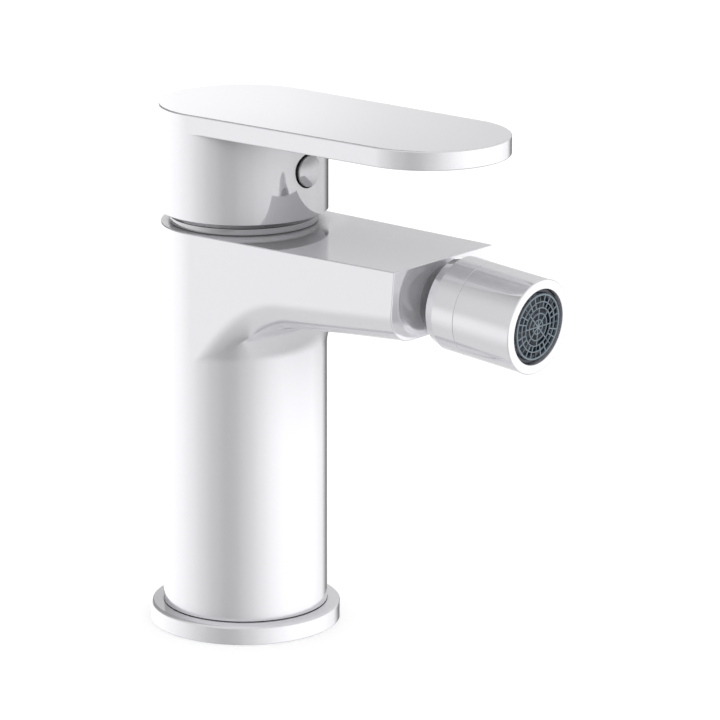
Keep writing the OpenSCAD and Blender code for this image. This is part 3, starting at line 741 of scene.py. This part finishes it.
class MIXER_OT_lever(bpy.types.Operator):
    """Builds the lever: cap, plate, hub and screw boss, and the plug over its screw"""
    bl_idname = "mixer.lever"
    bl_label = "Lever and plug"

    def execute(self, context):
        v, s = context.scene.mixer_lever, context.scene.mixer_body
        made = lever_outside(v).object("handle")
        ahead = (np.array([[1, 0, 0], [0, 0, -1], [0, 1, 0.0]]), np.array([0, 0, v.screw_z]))
        seat, outside = v.cap - v.plug_depth, v.cap + 2 * PAST
        bore(made, "plug_seat", [
            (0, seat), (v.plug_seat, seat), (v.plug_seat, outside), (0, outside)], ahead, segments=96)
        self.relief(made, v, s)
        self.clearing(made, v)
        foot, roof = v.pivot_z + v.hub_rise, v.top - v.plate - 2 * PAST
        hub_shape = [(0, foot), (v.hub, foot, BROAD), (v.hub, roof), (0, roof)]
        hub = lathed(hub_shape, straight(0, v.pivot_y), segments=64, closed=False)
        brow = v.cap - BOSS_BACK
        boss = lathed([
            (SCREW_HOLE, BOSS_START), (v.boss, BOSS_START, SOFT), (v.boss, brow), (v.plug_seat, brow),
            (v.plug_seat, seat), (SCREW_HOLE, seat)], ahead, segments=64)
        join(made, hub.object("hub"), boss.object("boss"))
        settle(made, "lever", chrome("lever"), "chrome", "lever")

        size, dome, back, front = v.plug, v.plug_dome, v.cap - PLUG_BACK, v.cap + PLUG_OUT
        round_r = (size ** 2 + dome ** 2) / (2 * dome)
        reach = latitude(size - EASED, round_r)
        skirt, head = size - PLUG_STEP, front - PLUG_HEAD
        plug = lathed([
            (0, back), (PLUG_STEM, back, EASED), (PLUG_STEM, seat), (skirt, seat, KEEN), (skirt, head),
            (size, head, KEEN), (size, front - KEEN, PLUG_EDGE),
            ("arc", 0, front + dome - round_r, round_r, 90 - reach, 90, 1)],
            ahead, segments=96, closed=False)
        # The plug takes the lever's plating, with its painted shade under the plate
        settle(plug.object("screw_cap"), "lever", chrome("lever"), "chrome", "screw_plug")
        return {"FINISHED"}

    def relief(self, made, v, s):
        """Cuts the skirt's rear along the plane that it swings down to."""
        drop = (v.pivot_z - s.top - v.lift_gap) / math.cos(v.lift) + v.pivot_y * math.tan(v.lift)
        c, d = math.cos(v.lift), math.sin(v.lift)
        tilt = np.array([[1, 0, 0], [0, c, -d], [0, d, c]])
        origin = np.array([0, 0, v.pivot_z - drop])
        low = np.array([-RELIEF_WIDTH, RELIEF_START, -RELIEF_DEPTH])
        high = np.array([RELIEF_WIDTH, RELIEF_END, 0])
        box = Shell(hollow=True)
        for axis in range(3):
            a, b = [k for k in range(3) if k != axis]
            for side, sign in ((low, -1), (high, 1)):
                corner = np.zeros((2, 2, 3))
                corner[..., axis] = side[axis]
                corner[0, :, a], corner[1, :, a] = low[a], high[a]
                corner[:, 0, b], corner[:, 1, b] = low[b], high[b]
                way = np.zeros(3)
                way[axis] = sign
                box.grid(corner @ tilt.T + origin, way @ tilt.T)
        cut(made, box, "relief")

    def clearing(self, made, v):
        """Clears the thick lip behind the axis, so that it passes the body's top."""
        shape = Shell(hollow=True)
        low, high, inner = v.lip_z - PAST, v.cap_low + CLEARING_TOP, v.cap - v.wall - 2 * HAIR
        start, end = math.pi / 2 + CLEARING_SIDE, math.pi * 1.5 - CLEARING_SIDE
        out = turned(np.linspace(start, end, CLEARING_STEPS + 1))
        shape.grid(spread(out * inner + UP * low, out * inner + UP * high, 1), out[None])
        shape.fill([out * inner + UP * low], -UP)
        shape.fill([out * inner + UP * high], UP)
        chord = np.stack([out[-1] * inner, out[0] * inner])
        shape.grid(spread(chord + UP * low, chord + UP * high, 1), turned(0.0))
        cut(made, shape, "lip_relief")


# Ball stud: radii of its shank, its O-ring groove and its flange, then heights from back to face
SHANK, RING_GROOVE, STUD_FLANGE = 0.00745, 0.00635, 0.0088
STUD_BACK, RING_LOW, RING_HIGH, STEP, FACE = -0.01, -0.004, -0.0022, -0.0014, -HAIR
# Distance from the ball's centre to its flat front, and the radius of the collar's opening at the back
BALL_FLAT, COLLAR_OPENING = 0.0087, 0.01
# Chamfer at the barrel's end of the seam, and the edges of the stud's face and of the mouth
SEAM_NICK, FACE_EDGE, MOUTH_EDGE = 0.00015, 0.00004, 0.00012


class MIXER_OT_nozzle(bpy.types.Operator):
    """Builds the ball stud, the collar and the barrel of the swivel nozzle"""
    bl_idname = "mixer.nozzle"
    bl_label = "Ball stud and nozzle"

    def execute(self, context):
        s, n = context.scene.mixer_body, context.scene.mixer_nozzle
        place = nozzle_place(s, n)
        ball, r, seam, end = n.ball, n.outside, n.seam, n.reach
        stud = lathed([
            (n.bore, STUD_BACK, KEEN), (SHANK, STUD_BACK, EASED), (SHANK, RING_LOW), (RING_GROOVE, RING_LOW),
            (RING_GROOVE, RING_HIGH), (SHANK, RING_HIGH), (SHANK, STEP), (STUD_FLANGE, STEP, KEEN),
            (STUD_FLANGE, FACE, FACE_EDGE), (n.neck, FACE, BROAD),
            ("arc", 0, seam, ball, latitude(n.neck, ball) - 90, latitude(BALL_FLAT, ball), 1),
            (n.bore, seam + BALL_FLAT, EASED)], place)
        settle(stud.object("stud"), "root", chrome(), "chrome", "ball_stud")

        # The collar and the barrel's spigot close round the ball's seat
        cavity, spigot, outer = ball + n.seat, n.spigot, n.spigot + OFF
        spigot_low, edge = seam - n.spigot_length, seam - HAIR
        waist = -math.sqrt(cavity ** 2 - n.waist ** 2)
        collar = lathed([
            (COLLAR_OPENING, n.collar, KEEN), (r - n.collar_bevel, n.collar, SOFT),
            (r, n.collar + n.collar_run, BROAD), (r, edge, KEEN), (outer, edge), (outer, spigot_low),
            ("arc", 0, seam, cavity, latitude(spigot_low - seam, cavity), latitude(waist, cavity), -1)],
            place, segments=192)
        settle(collar.object("collar"), "nozzle", chrome("nozzle"), "chrome", "nozzle_collar")

        low = spigot_low + OFF
        top = math.sqrt(cavity ** 2 - n.throat ** 2)
        barrel = lathed([
            (spigot, low), (spigot, seam), (r - SEAM_NICK, seam, OFF), (r, seam + SEAM_NICK, KEEN),
            (r, end, SOFT), (n.mouth, end, MOUTH_EDGE), (n.mouth, n.shoulder), (n.throat, n.shoulder),
            ("arc", 0, seam, cavity, latitude(top, cavity), latitude(low - seam, cavity), -1)],
            place, segments=192)
        settle(barrel.object("barrel"), "nozzle", chrome("nozzle"), "chrome", "nozzle_barrel")
        return {"FINISHED"}


def put(tree, kind, inputs=(), **options):
    """Adds a node with these options; each input, by name or number, gets a link or a value."""
    made = tree.nodes.new(kind)
    for name, value in options.items():
        setattr(made, name, value)
    for key, value in dict(inputs).items():
        if isinstance(value, bpy.types.NodeSocket):
            tree.links.new(value, made.inputs[key])
        else:
            made.inputs[key].default_value = value
    return made


def calc(tree, operation, *values):
    """One step of arithmetic on links or numbers."""
    return put(tree, "ShaderNodeMath", enumerate(values), operation=operation).outputs[0]


def multiply(tree, first, second):
    """The product of two colours; each is a link or a grey value."""
    sides = [(v,) * 3 if isinstance(v, (int, float)) else v for v in (first, second)]
    return put(tree, "ShaderNodeVectorMath", enumerate(sides), operation="MULTIPLY").outputs[0]


def blend(tree, share, first, second):
    """One colour that goes over to another; each is a link, a colour or a grey value."""
    sides = [(v, v, v, 1) if isinstance(v, (int, float)) else v for v in (first, second)]
    made = put(tree, "ShaderNodeMix", {"Factor": share, "A": sides[0], "B": sides[1]}, data_type="RGBA")
    return made.outputs["Result"]


def rise(tree, source, low, high):
    """Goes smoothly from 0 to 1 between two values."""
    made = put(tree, "ShaderNodeMapRange", {"Value": source, "From Min": low, "From Max": high},
               interpolation_type="SMOOTHSTEP")
    return made.outputs[0]


def spoke_tree(material):
    """A node tree that sets bars around the axis, each reaching from one radius to another."""
    tree = bpy.data.node_groups.new("Grille spokes", "GeometryNodeTree")
    face = tree.interface
    face.new_socket("Geometry", in_out="INPUT", socket_type="NodeSocketGeometry")
    face.new_socket("Count", in_out="INPUT", socket_type="NodeSocketInt")
    for name in ("Inner radius", "Outer radius", "Bar width", "Depth"):
        face.new_socket(name, in_out="INPUT", socket_type="NodeSocketFloat")
    face.new_socket("Geometry", in_out="OUTPUT", socket_type="NodeSocketGeometry")
    given = put(tree, "NodeGroupInput").outputs
    near, far, count = given["Inner radius"], given["Outer radius"], given["Count"]
    size = put(tree, "ShaderNodeCombineXYZ", {
        0: calc(tree, "SUBTRACT", far, near), 1: given["Bar width"], 2: given["Depth"]})
    bar = put(tree, "GeometryNodeMeshCube", {"Size": size.outputs[0]})
    middle = calc(tree, "MULTIPLY", calc(tree, "ADD", far, near), 0.5)
    ring = put(tree, "GeometryNodeMeshCircle", {"Vertices": count, "Radius": middle})
    share = calc(tree, "DIVIDE", put(tree, "GeometryNodeInputIndex").outputs[0], count)
    euler = put(tree, "ShaderNodeCombineXYZ", {2: calc(tree, "MULTIPLY", share, 2 * math.pi)})
    rotation = put(tree, "FunctionNodeEulerToRotation", {0: euler.outputs[0]})
    place = put(tree, "GeometryNodeInstanceOnPoints", {
        "Points": ring.outputs["Mesh"], "Instance": bar.outputs["Mesh"], "Rotation": rotation.outputs[0]})
    real = put(tree, "GeometryNodeRealizeInstances", {0: place.outputs[0]})
    finish = put(tree, "GeometryNodeSetMaterial", {"Geometry": real.outputs[0], "Material": material})
    put(tree, "NodeGroupOutput", {0: finish.outputs[0]})
    return tree


def spokes(tree, name, **sizes):
    """One set of spokes as a plain mesh object."""
    base = bpy.data.meshes.new(name)
    made = placed(name, base)
    modifier = made.modifiers.new("spokes", "NODES")
    modifier.node_group = tree
    for item in tree.interface.items_tree:
        key = item.name.replace(" ", "_").lower()
        if item.item_type == "SOCKET" and item.in_out == "INPUT" and key in sizes:
            modifier[item.identifier] = sizes[key]
    mesh = evaluated(made)
    made.modifiers.clear()
    made.data = mesh
    bpy.data.meshes.remove(base)
    return made


# Aerator's body: radius of its opening, play in the mouth, setback from the mouth, floor thickness
OPENING, PLAY, SETBACK, AERATOR_FLOOR = 0.0072, 0.00012, 0.0012, 0.001
# Grille: radii of its rings and its hub, and the keen edge of its rings
ZONES, GRILLE_HUB, RING_EDGE = (0.0019, 0.0036, 0.0051, 0.0067), 0.0007, 0.00008
# Long spokes, where they begin, and how far all spokes stay below the rings' top and inside the rim
LONG_SPOKES, SPOKE_START, SPOKE_LOW, SPOKE_IN = 8, 0.0005, 0.00006, 0.0004


class MIXER_OT_aerator(bpy.types.Operator):
    """Builds the aerator: its body in the mouth and the grille with rings and spokes"""
    bl_idname = "mixer.aerator"
    bl_label = "Aerator"

    def execute(self, context):
        s, n = context.scene.mixer_body, context.scene.mixer_nozzle
        place = nozzle_place(s, n)
        turn, origin = place
        back, out, front, inside = n.aerator_back, n.mouth - PLAY, n.reach - SETBACK, n.rim + OFF
        floor = back + AERATOR_FLOOR
        body = lathed([
            (OPENING, back, KEEN), (out, back, EASED), (out, front, SOFT), (inside, front, EASED),
            (inside, floor), (OPENING, floor, KEEN)], place)
        settle(body.object("aerator_body"), "nozzle", aerator_plastic(), "aerator_plastic", "aerator_housing")

        grille = Shell()
        high, half = n.reach - KEEN, n.bar / 2
        low = high - n.bar_depth
        rings = [(n.rim - n.rim_width, n.rim, KEEN)]
        rings += [(zone - half, zone + half, RING_EDGE) for zone in ZONES]
        for near, far, ease in rings:
            ring = outline([(near, low), (far, low), (far, high, ease), (near, high, ease)], closed=True)
            grille.lathe(ring, place, segments=96)
        hub = outline([(0, low), (GRILLE_HUB, low), (GRILLE_HUB, high, KEEN), (0, high)])
        grille.lathe(hub, place, segments=32)
        made = grille.object("grille")
        finish = grille_plastic()
        tree = spoke_tree(finish)
        depth, reach = high - low - SPOKE_LOW, n.rim - SPOKE_IN
        bars = {"outer_radius": reach, "bar_width": n.bar, "depth": depth}
        sets = [
            spokes(tree, "long_spokes", count=LONG_SPOKES, inner_radius=SPOKE_START, **bars),
            spokes(tree, "short_spokes", count=n.spokes, inner_radius=ZONES[2], **bars)]
        for one in sets:
            points = np.empty(len(one.data.vertices) * 3)
            one.data.vertices.foreach_get("co", points)
            points = points.reshape(-1, 3) + UP * (low + depth / 2)
            one.data.vertices.foreach_set("co", (points @ turn.T + origin).ravel())
            exact = one.data.attributes.new(EXACT, "FLOAT_VECTOR", "CORNER")
            way = np.zeros((len(one.data.loops), 3), np.float32)
            for face in one.data.polygons:
                a, b, c = (points[i] @ turn.T for i in face.vertices[:3])
                way[list(face.loop_indices)] = unit(np.cross(b - a, c - b))
            exact.data.foreach_set("vector", way.ravel())
        join(made, *sets)
        settle(made, "nozzle", finish, "grille_plastic", "aerator_grille")
        bpy.data.node_groups.remove(tree)
        return {"FINISHED"}


def shader(name, colour, inputs=()):
    """A material with a Principled shader and its constant values; no tree if it is there already."""
    material = bpy.data.materials.get(name)
    if material:
        return material, None, None
    material = bpy.data.materials.new(name)
    material.use_nodes = True
    tree = material.node_tree
    base = tree.nodes["Principled BSDF"]
    for key, value in {"Base Color": (*colour, 1), **dict(inputs)}.items():
        base.inputs[key].default_value = value
    return material, tree, base


def grain(tree, base, scale, low, high, bump, colours, detail=4.0):
    """Adds fine unevenness: roughness between two values, a little relief, and a shift of colour."""
    where = put(tree, "ShaderNodeTexCoord").outputs["Object"]
    cloud = put(tree, "ShaderNodeTexNoise", {"Scale": scale, "Detail": detail, "Vector": where})
    noise = cloud.outputs["Fac"]
    rough = put(tree, "ShaderNodeMapRange", {"Value": noise, "To Min": low, "To Max": high})
    tree.links.new(rough.outputs["Result"], base.inputs["Roughness"])
    if bump:
        relief = put(tree, "ShaderNodeBump", {"Strength": bump, "Distance": GRAIN_DEPTH, "Height": noise})
        tree.links.new(relief.outputs["Normal"], base.inputs["Normal"])
    tree.links.new(blend(tree, noise, *((*c, 1) for c in colours)), base.inputs["Base Color"])


def shades(colour, spread_by):
    """A colour made a little darker and a little lighter."""
    return [tuple(min(1, c * k) for c in colour) for k in (1 - spread_by, 1 + spread_by)]


def hidden_share(tree, reach, alone):
    """How much of a point's surroundings is covered within a distance, by its own piece alone or by any."""
    seen = put(tree, "ShaderNodeAmbientOcclusion", {"Distance": reach}, samples=16, only_local=alone)
    return calc(tree, "SUBTRACT", 1, seen.outputs["AO"])


def paint_shade(tree, base, share, dark):
    """Paints shade: covered places get a darker base colour, so they reflect less."""
    keep = put(tree, "ShaderNodeVectorMath", {0: (1, 1, 1), 1: multiply(tree, share, dark)},
               operation="SUBTRACT")
    plain = base.inputs["Base Color"].links[0].from_socket
    tree.links.new(multiply(tree, plain, keep.outputs[0]), base.inputs["Base Color"])


# Depth and spread of roughness of the grain in plastic and metal
GRAIN_DEPTH, GRAIN_SPREAD = 0.0001, (0.8, 1.2)
# Scale and detail of the plating's grain, and the spread of its roughness and colour
PLATING, PLATING_DETAIL, PLATING_SPREAD, PLATING_COLOUR = 900, 6, (0.7, 1.3), 0.012
METAL = {"Metallic": 1.0}


def chrome(piece="body"):
    """The bright plating, with painted shade: its base colour is darker where the piece or its neighbours
    cover it.
    """
    f = bpy.context.scene.mixer_finishes
    material, tree, base = shader(f"{piece}_chrome", f.chrome, {"Metallic": f.chrome_metal})
    if tree:
        low, high = (f.chrome_roughness * k for k in PLATING_SPREAD)
        grain(tree, base, PLATING, low, high, 0, shades(f.chrome, PLATING_COLOUR), PLATING_DETAIL)
        # Painted shade under overhangs: the body counts only itself, the lever, ring and plug count every
        # piece, and the nozzle has none
        if piece != "nozzle":
            paint_shade(tree, base, hidden_share(tree, f.shade, piece == "body"), f.shade_dark)
        # The body's recesses above the flange's top get more painted shade, and a rougher finish
        if piece == "body":
            where = put(tree, "ShaderNodeTexCoord").outputs["Object"]
            height = put(tree, "ShaderNodeSeparateXYZ", {0: where}).outputs[2]
            free = rise(tree, height, f.recess_low, f.recess_high)
            covered = multiply(tree, hidden_share(tree, f.recess, False), free)
            paint_shade(tree, base, calc(tree, "POWER", covered, f.recess_curve), f.recess_dark)
            rough = base.inputs["Roughness"].links[0].from_socket
            dull = calc(tree, "MULTIPLY_ADD", covered, f.recess_dull, rough)
            tree.links.new(dull, base.inputs["Roughness"])
    return material


def plastic(name, colour, scale, rough, bump=0.15, vary=0.08, inputs=()):
    """A finish with fine grain, for plastic, rubber, ceramic or turned metal."""
    material, tree, base = shader(name, colour, inputs)
    if tree:
        low, high = (min(1, rough * k) for k in GRAIN_SPREAD)
        grain(tree, base, scale, low, high, bump, shades(colour, vary))
    return material


def aerator_plastic():
    """The dark plastic of the aerator's body, nearly without a mirror."""
    f = bpy.context.scene.mixer_finishes
    return plastic("aerator_plastic", f.aerator, 1400, 0.35, inputs={"Specular IOR Level": 0.04})


def grille_plastic():
    """The paler plastic of the aerator's grille."""
    return plastic("grille_plastic", bpy.context.scene.mixer_finishes.grille, 1400, 0.3)


class MIXER_OT_inner(bpy.types.Operator):
    """Gives the parts that keep their CAD shape their finishes"""
    bl_idname = "mixer.inner"
    bl_label = "Inner parts"

    def execute(self, context):
        f = context.scene.mixer_finishes
        # Colour, scale of the grain, roughness, relief and spread of colour
        rubber = plastic("seal_rubber", f.rubber, 2500, 0.6, 0.3, 0.25)
        cartridge = plastic("cartridge_plastic", f.cartridge, 900, 0.4)
        driver = plastic("driver_plastic", f.driver, 900, 0.4)
        ceramic = plastic("disc_ceramic", f.ceramic, 2000, 0.12, 0.05, 0.04)
        slip = plastic("slip_plastic", f.slip, 1500, 0.35)
        brass = plastic("turned_brass", f.brass, 1800, 0.28, 0.1, 0.08, METAL)
        steel = plastic("turned_steel", f.steel, 1800, 0.3, 0.1, 0.08, METAL)
        finishes = {
            "base_gasket": rubber, "inlet_seals": rubber, "disc_seals": rubber, "housing_oring": rubber,
            "stud_oring": rubber, "carrier_oring": rubber, "seat_seal": rubber, "aerator_gasket": rubber,
            "cartridge_base": cartridge, "cartridge_housing": cartridge, "cartridge_carrier": cartridge,
            "disc_driver": driver, "fixed_disc": ceramic, "moving_disc": ceramic, "slip_ring": slip,
            "retaining_nut": brass, "pivot_pin": steel, "cartridge_stem": steel, "grub_screw": steel,
            "flow_regulator": aerator_plastic(), "aerator_screens": aerator_plastic(),
        }
        for name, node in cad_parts.items():
            finish = finishes.get(name, chrome())
            if not node.material_slots:
                node.data.materials.append(finish)
            for place in node.material_slots:
                place.material = finish
        return {"FINISHED"}


# What the chrome reflects, by compass angle in degrees from -Y toward +X
SWEEP = [(-180, 0.97), (-163, 0.91), (-143, 0.81), (-121, 0.625), (-102, 0.44), (-84, 0.315), (-70, 0.275),
         (-55, 0.37), (-34, 0.585), (-17, 0.785), (1, 0.94), (20, 1.0), (60, 1.0), (180, 0.97)]
SKY = [(-180, 0.08), (-167, 0.12), (-156, 0.16), (-148, 0.25), (-136, 0.35), (-129, 0.45), (-110, 0.5),
       (0, 0.5), (128, 0.465), (130.4, 0.455), (132.2, 0.425), (134.2, 0.36), (136, 0.1), (138, 0.05),
       (180, 0.08)]
# A dark strip behind the mixer, below the horizon, and a bright panel above it
STRIP = [(-180, 1.0), (60, 1.0), (89, 0.78), (104, 0.17), (112, 0.05), (119, 0.05), (126, 1.0), (180, 1.0)]
PANEL = [(-180, 0), (126.5, 0), (128.8, 0.055), (130.4, 0.235), (131.3, 0.33), (132.2, 0.365), (134, 0.72),
         (150, 0.8), (165, 0), (180, 0)]
# What its lower curves see straight below
NADIR = [(-180, 0.5), (-120, 0.48), (-106, 0.34), (-96, 0.27), (-87, 0.2), (-70, 0.18), (-61, 0.22),
         (-53, 0.32), (-44, 0.4), (-36, 0.5), (180, 0.5)]
# Heights of a direction between which the panel ends, the sweep turns to sky, and to what lies below
PANEL_EDGE, HORIZON, BELOW = (0.228, 0.203), (-0.2, 0.12), (-0.27, -0.65)
# The camera fitted to the photograph: turn, height and roll in degrees, its distance from the point that
# it looks at, and that point's height and place to the right
CAMERA_ANGLES, CAMERA_DISTANCE, AIM_UP, AIM_RIGHT = (-50.10, 15.09, 0.07), 1.19405, 0.07299, 0.02828
# Its focal length and its middle column, in pixels of a picture this wide, and its sensor
FOCAL, MIDDLE, PICTURE, SENSOR = 4393.5, 348.47, 720, 36
FLOOR_RADIUS, FLOOR_SIDES = 6, 96


def ramp(tree, source, stops, smooth="CARDINAL"):
    """A grey that follows these stops round the compass."""
    made = put(tree, "ShaderNodeValToRGB", {"Fac": source})
    made.color_ramp.interpolation = smooth
    bar = made.color_ramp.elements
    for k, (at, value) in enumerate(stops):
        place = at / 360 + 0.5
        stop = bar[k] if k < 2 else bar.new(place)
        stop.position = place
        stop.color = (value, value, value, 1)
    return made.outputs["Color"]


def compass(tree, source):
    """The height of a direction, and its compass angle as a share of the circle."""
    x, y, z = put(tree, "ShaderNodeSeparateXYZ", {0: source}).outputs
    at = calc(tree, "ARCTAN2", x, calc(tree, "MULTIPLY", y, -1))
    part = put(tree, "ShaderNodeMapRange", {"Value": at, "From Min": -math.pi, "From Max": math.pi})
    return z, part.outputs[0]


class MIXER_OT_stage(bpy.types.Operator):
    """Makes the camera, the pale floor and the even studio light"""
    bl_idname = "mixer.stage"
    bl_label = "Studio"

    def execute(self, context):
        self.camera(context)
        self.floor(context)
        self.world(context)
        return {"FINISHED"}

    def camera(self, context):
        """Sets the camera that was fitted to the photograph."""
        around, height, roll = (math.radians(a) for a in CAMERA_ANGLES)
        back = np.array([
            math.sin(around) * math.cos(height), -math.cos(around) * math.cos(height), math.sin(height)])
        right = np.array([math.cos(around), math.sin(around), 0])
        up = np.cross(back, right)
        at = UP * AIM_UP + right * AIM_RIGHT + back * CAMERA_DISTANCE
        side = right * math.cos(roll) + up * math.sin(roll)
        top = up * math.cos(roll) - right * math.sin(roll)
        data = bpy.data.cameras.new("camera")
        data.sensor_width = SENSOR
        data.lens = FOCAL / PICTURE * SENSOR
        data.shift_x = (PICTURE / 2 - MIDDLE) / PICTURE
        data.clip_start, data.clip_end = 0.05, 50
        made = placed("camera", data)
        matrix = np.eye(4)
        matrix[:3] = np.stack([side, top, back, at], 1)
        made.matrix_world = Matrix(matrix.tolist())
        context.scene.camera = made

    def floor(self, context):
        """Lays a wide floor that looks white and that reflections don't show."""
        settings = context.scene.mixer_studio
        mesh = bpy.data.meshes.new("floor")
        around = turned(np.linspace(0, 2 * math.pi, FLOOR_SIDES + 1)[:-1])
        mesh.from_pydata((around * FLOOR_RADIUS).tolist(), [], [list(range(FLOOR_SIDES))])
        made = placed("floor", mesh)
        material = bpy.data.materials.new("floor")
        material.use_nodes = True
        tree = material.node_tree
        tree.nodes.clear()
        rays = put(tree, "ShaderNodeLightPath").outputs
        plain = put(tree, "ShaderNodeBsdfDiffuse", {"Color": (*settings.floor, 1)})
        glow = put(tree, "ShaderNodeEmission", {
            "Color": multiply(tree, rays["Is Camera Ray"], settings.glow)})
        lit = put(tree, "ShaderNodeAddShader", {0: plain.outputs[0], 1: glow.outputs[0]})
        clear = put(tree, "ShaderNodeBsdfTransparent")
        mix = put(tree, "ShaderNodeMixShader", {
            0: rays["Is Glossy Ray"], 1: lit.outputs[0], 2: clear.outputs[0]})
        put(tree, "ShaderNodeOutputMaterial", {0: mix.outputs[0]})
        mesh.materials.append(material)

    def world(self, context):
        """Gives even light, and a sweep, sky and panel that only reflections show."""
        settings = context.scene.mixer_studio
        world = bpy.data.worlds.new("studio")
        context.scene.world = world
        world.use_nodes = True
        tree = world.node_tree
        tree.nodes.clear()
        height, at = compass(tree, put(tree, "ShaderNodeTexCoord").outputs["Generated"])
        low = multiply(tree, ramp(tree, at, SWEEP), ramp(tree, at, STRIP, "LINEAR"))
        panel = multiply(tree, ramp(tree, at, PANEL, "LINEAR"), rise(tree, height, *PANEL_EDGE))
        plain = ramp(tree, at, SKY, "LINEAR")
        sky = put(tree, "ShaderNodeVectorMath", {0: plain, 1: panel}, operation="ADD")
        level = blend(tree, rise(tree, height, *HORIZON), low, sky.outputs[0])
        seen = blend(tree, rise(tree, height, *BELOW), level, ramp(tree, at, NADIR, "LINEAR"))
        rays = put(tree, "ShaderNodeLightPath").outputs
        lit = blend(tree, rays["Is Glossy Ray"], settings.level, multiply(tree, seen, settings.bright))
        light = put(tree, "ShaderNodeBackground", {"Color": blend(tree, rays["Is Camera Ray"], lit, 1.0)})
        put(tree, "ShaderNodeOutputWorld", {0: light.outputs[0]})
        context.scene.view_settings.view_transform = "Standard"


class MIXER_PT_panel(bpy.types.Panel):
    """Lists the sizes, the finishes and the steps that build the mixer"""
    bl_idname = "MIXER_PT_panel"
    bl_label = "Bidet mixer"
    bl_space_type = "VIEW_3D"
    bl_region_type = "UI"
    bl_category = "Mixer"

    def draw(self, context):
        scene = context.scene
        for name, kind in GROUPS:
            box = self.layout.box()
            box.label(text=label(name.removeprefix("mixer_")))
            for field in kind.__annotations__:
                box.prop(getattr(scene, name), field)
        for step in STEPS:
            self.layout.operator(step.bl_idname)


STEPS = (MIXER_OT_stage, MIXER_OT_inner, MIXER_OT_body, MIXER_OT_rings, MIXER_OT_lever, MIXER_OT_nozzle,
         MIXER_OT_aerator)
GROUPS = (
    ("mixer_body", MixerBodySizes), ("mixer_lever", MixerLeverSizes), ("mixer_nozzle", MixerNozzleSizes),
    ("mixer_finishes", MixerFinishes), ("mixer_studio", MixerStudio))


def label(key):
    """The words that the panel shows for a key."""
    return key.replace("_", " ").capitalize()


def register():
    for _, kind in GROUPS:
        for key, field in kind.__annotations__.items():
            field.keywords["name"] = label(key)
        bpy.utils.register_class(kind)
    for kind in (*STEPS, MIXER_PT_panel):
        bpy.utils.register_class(kind)
    for name, kind in GROUPS:
        setattr(bpy.types.Scene, name, bpy.props.PointerProperty(type=kind))


def unregister():
    for name, _ in GROUPS:
        delattr(bpy.types.Scene, name)
    for kind in (MIXER_PT_panel, *reversed(STEPS)):
        bpy.utils.unregister_class(kind)
    for _, kind in reversed(GROUPS):
        bpy.utils.unregister_class(kind)


def main():
    register()
    for step in STEPS:
        group, name = step.bl_idname.split(".")
        getattr(getattr(bpy.ops, group), name)()
    bpy.context.view_layer.update()


if __name__ == "__main__":
    main()
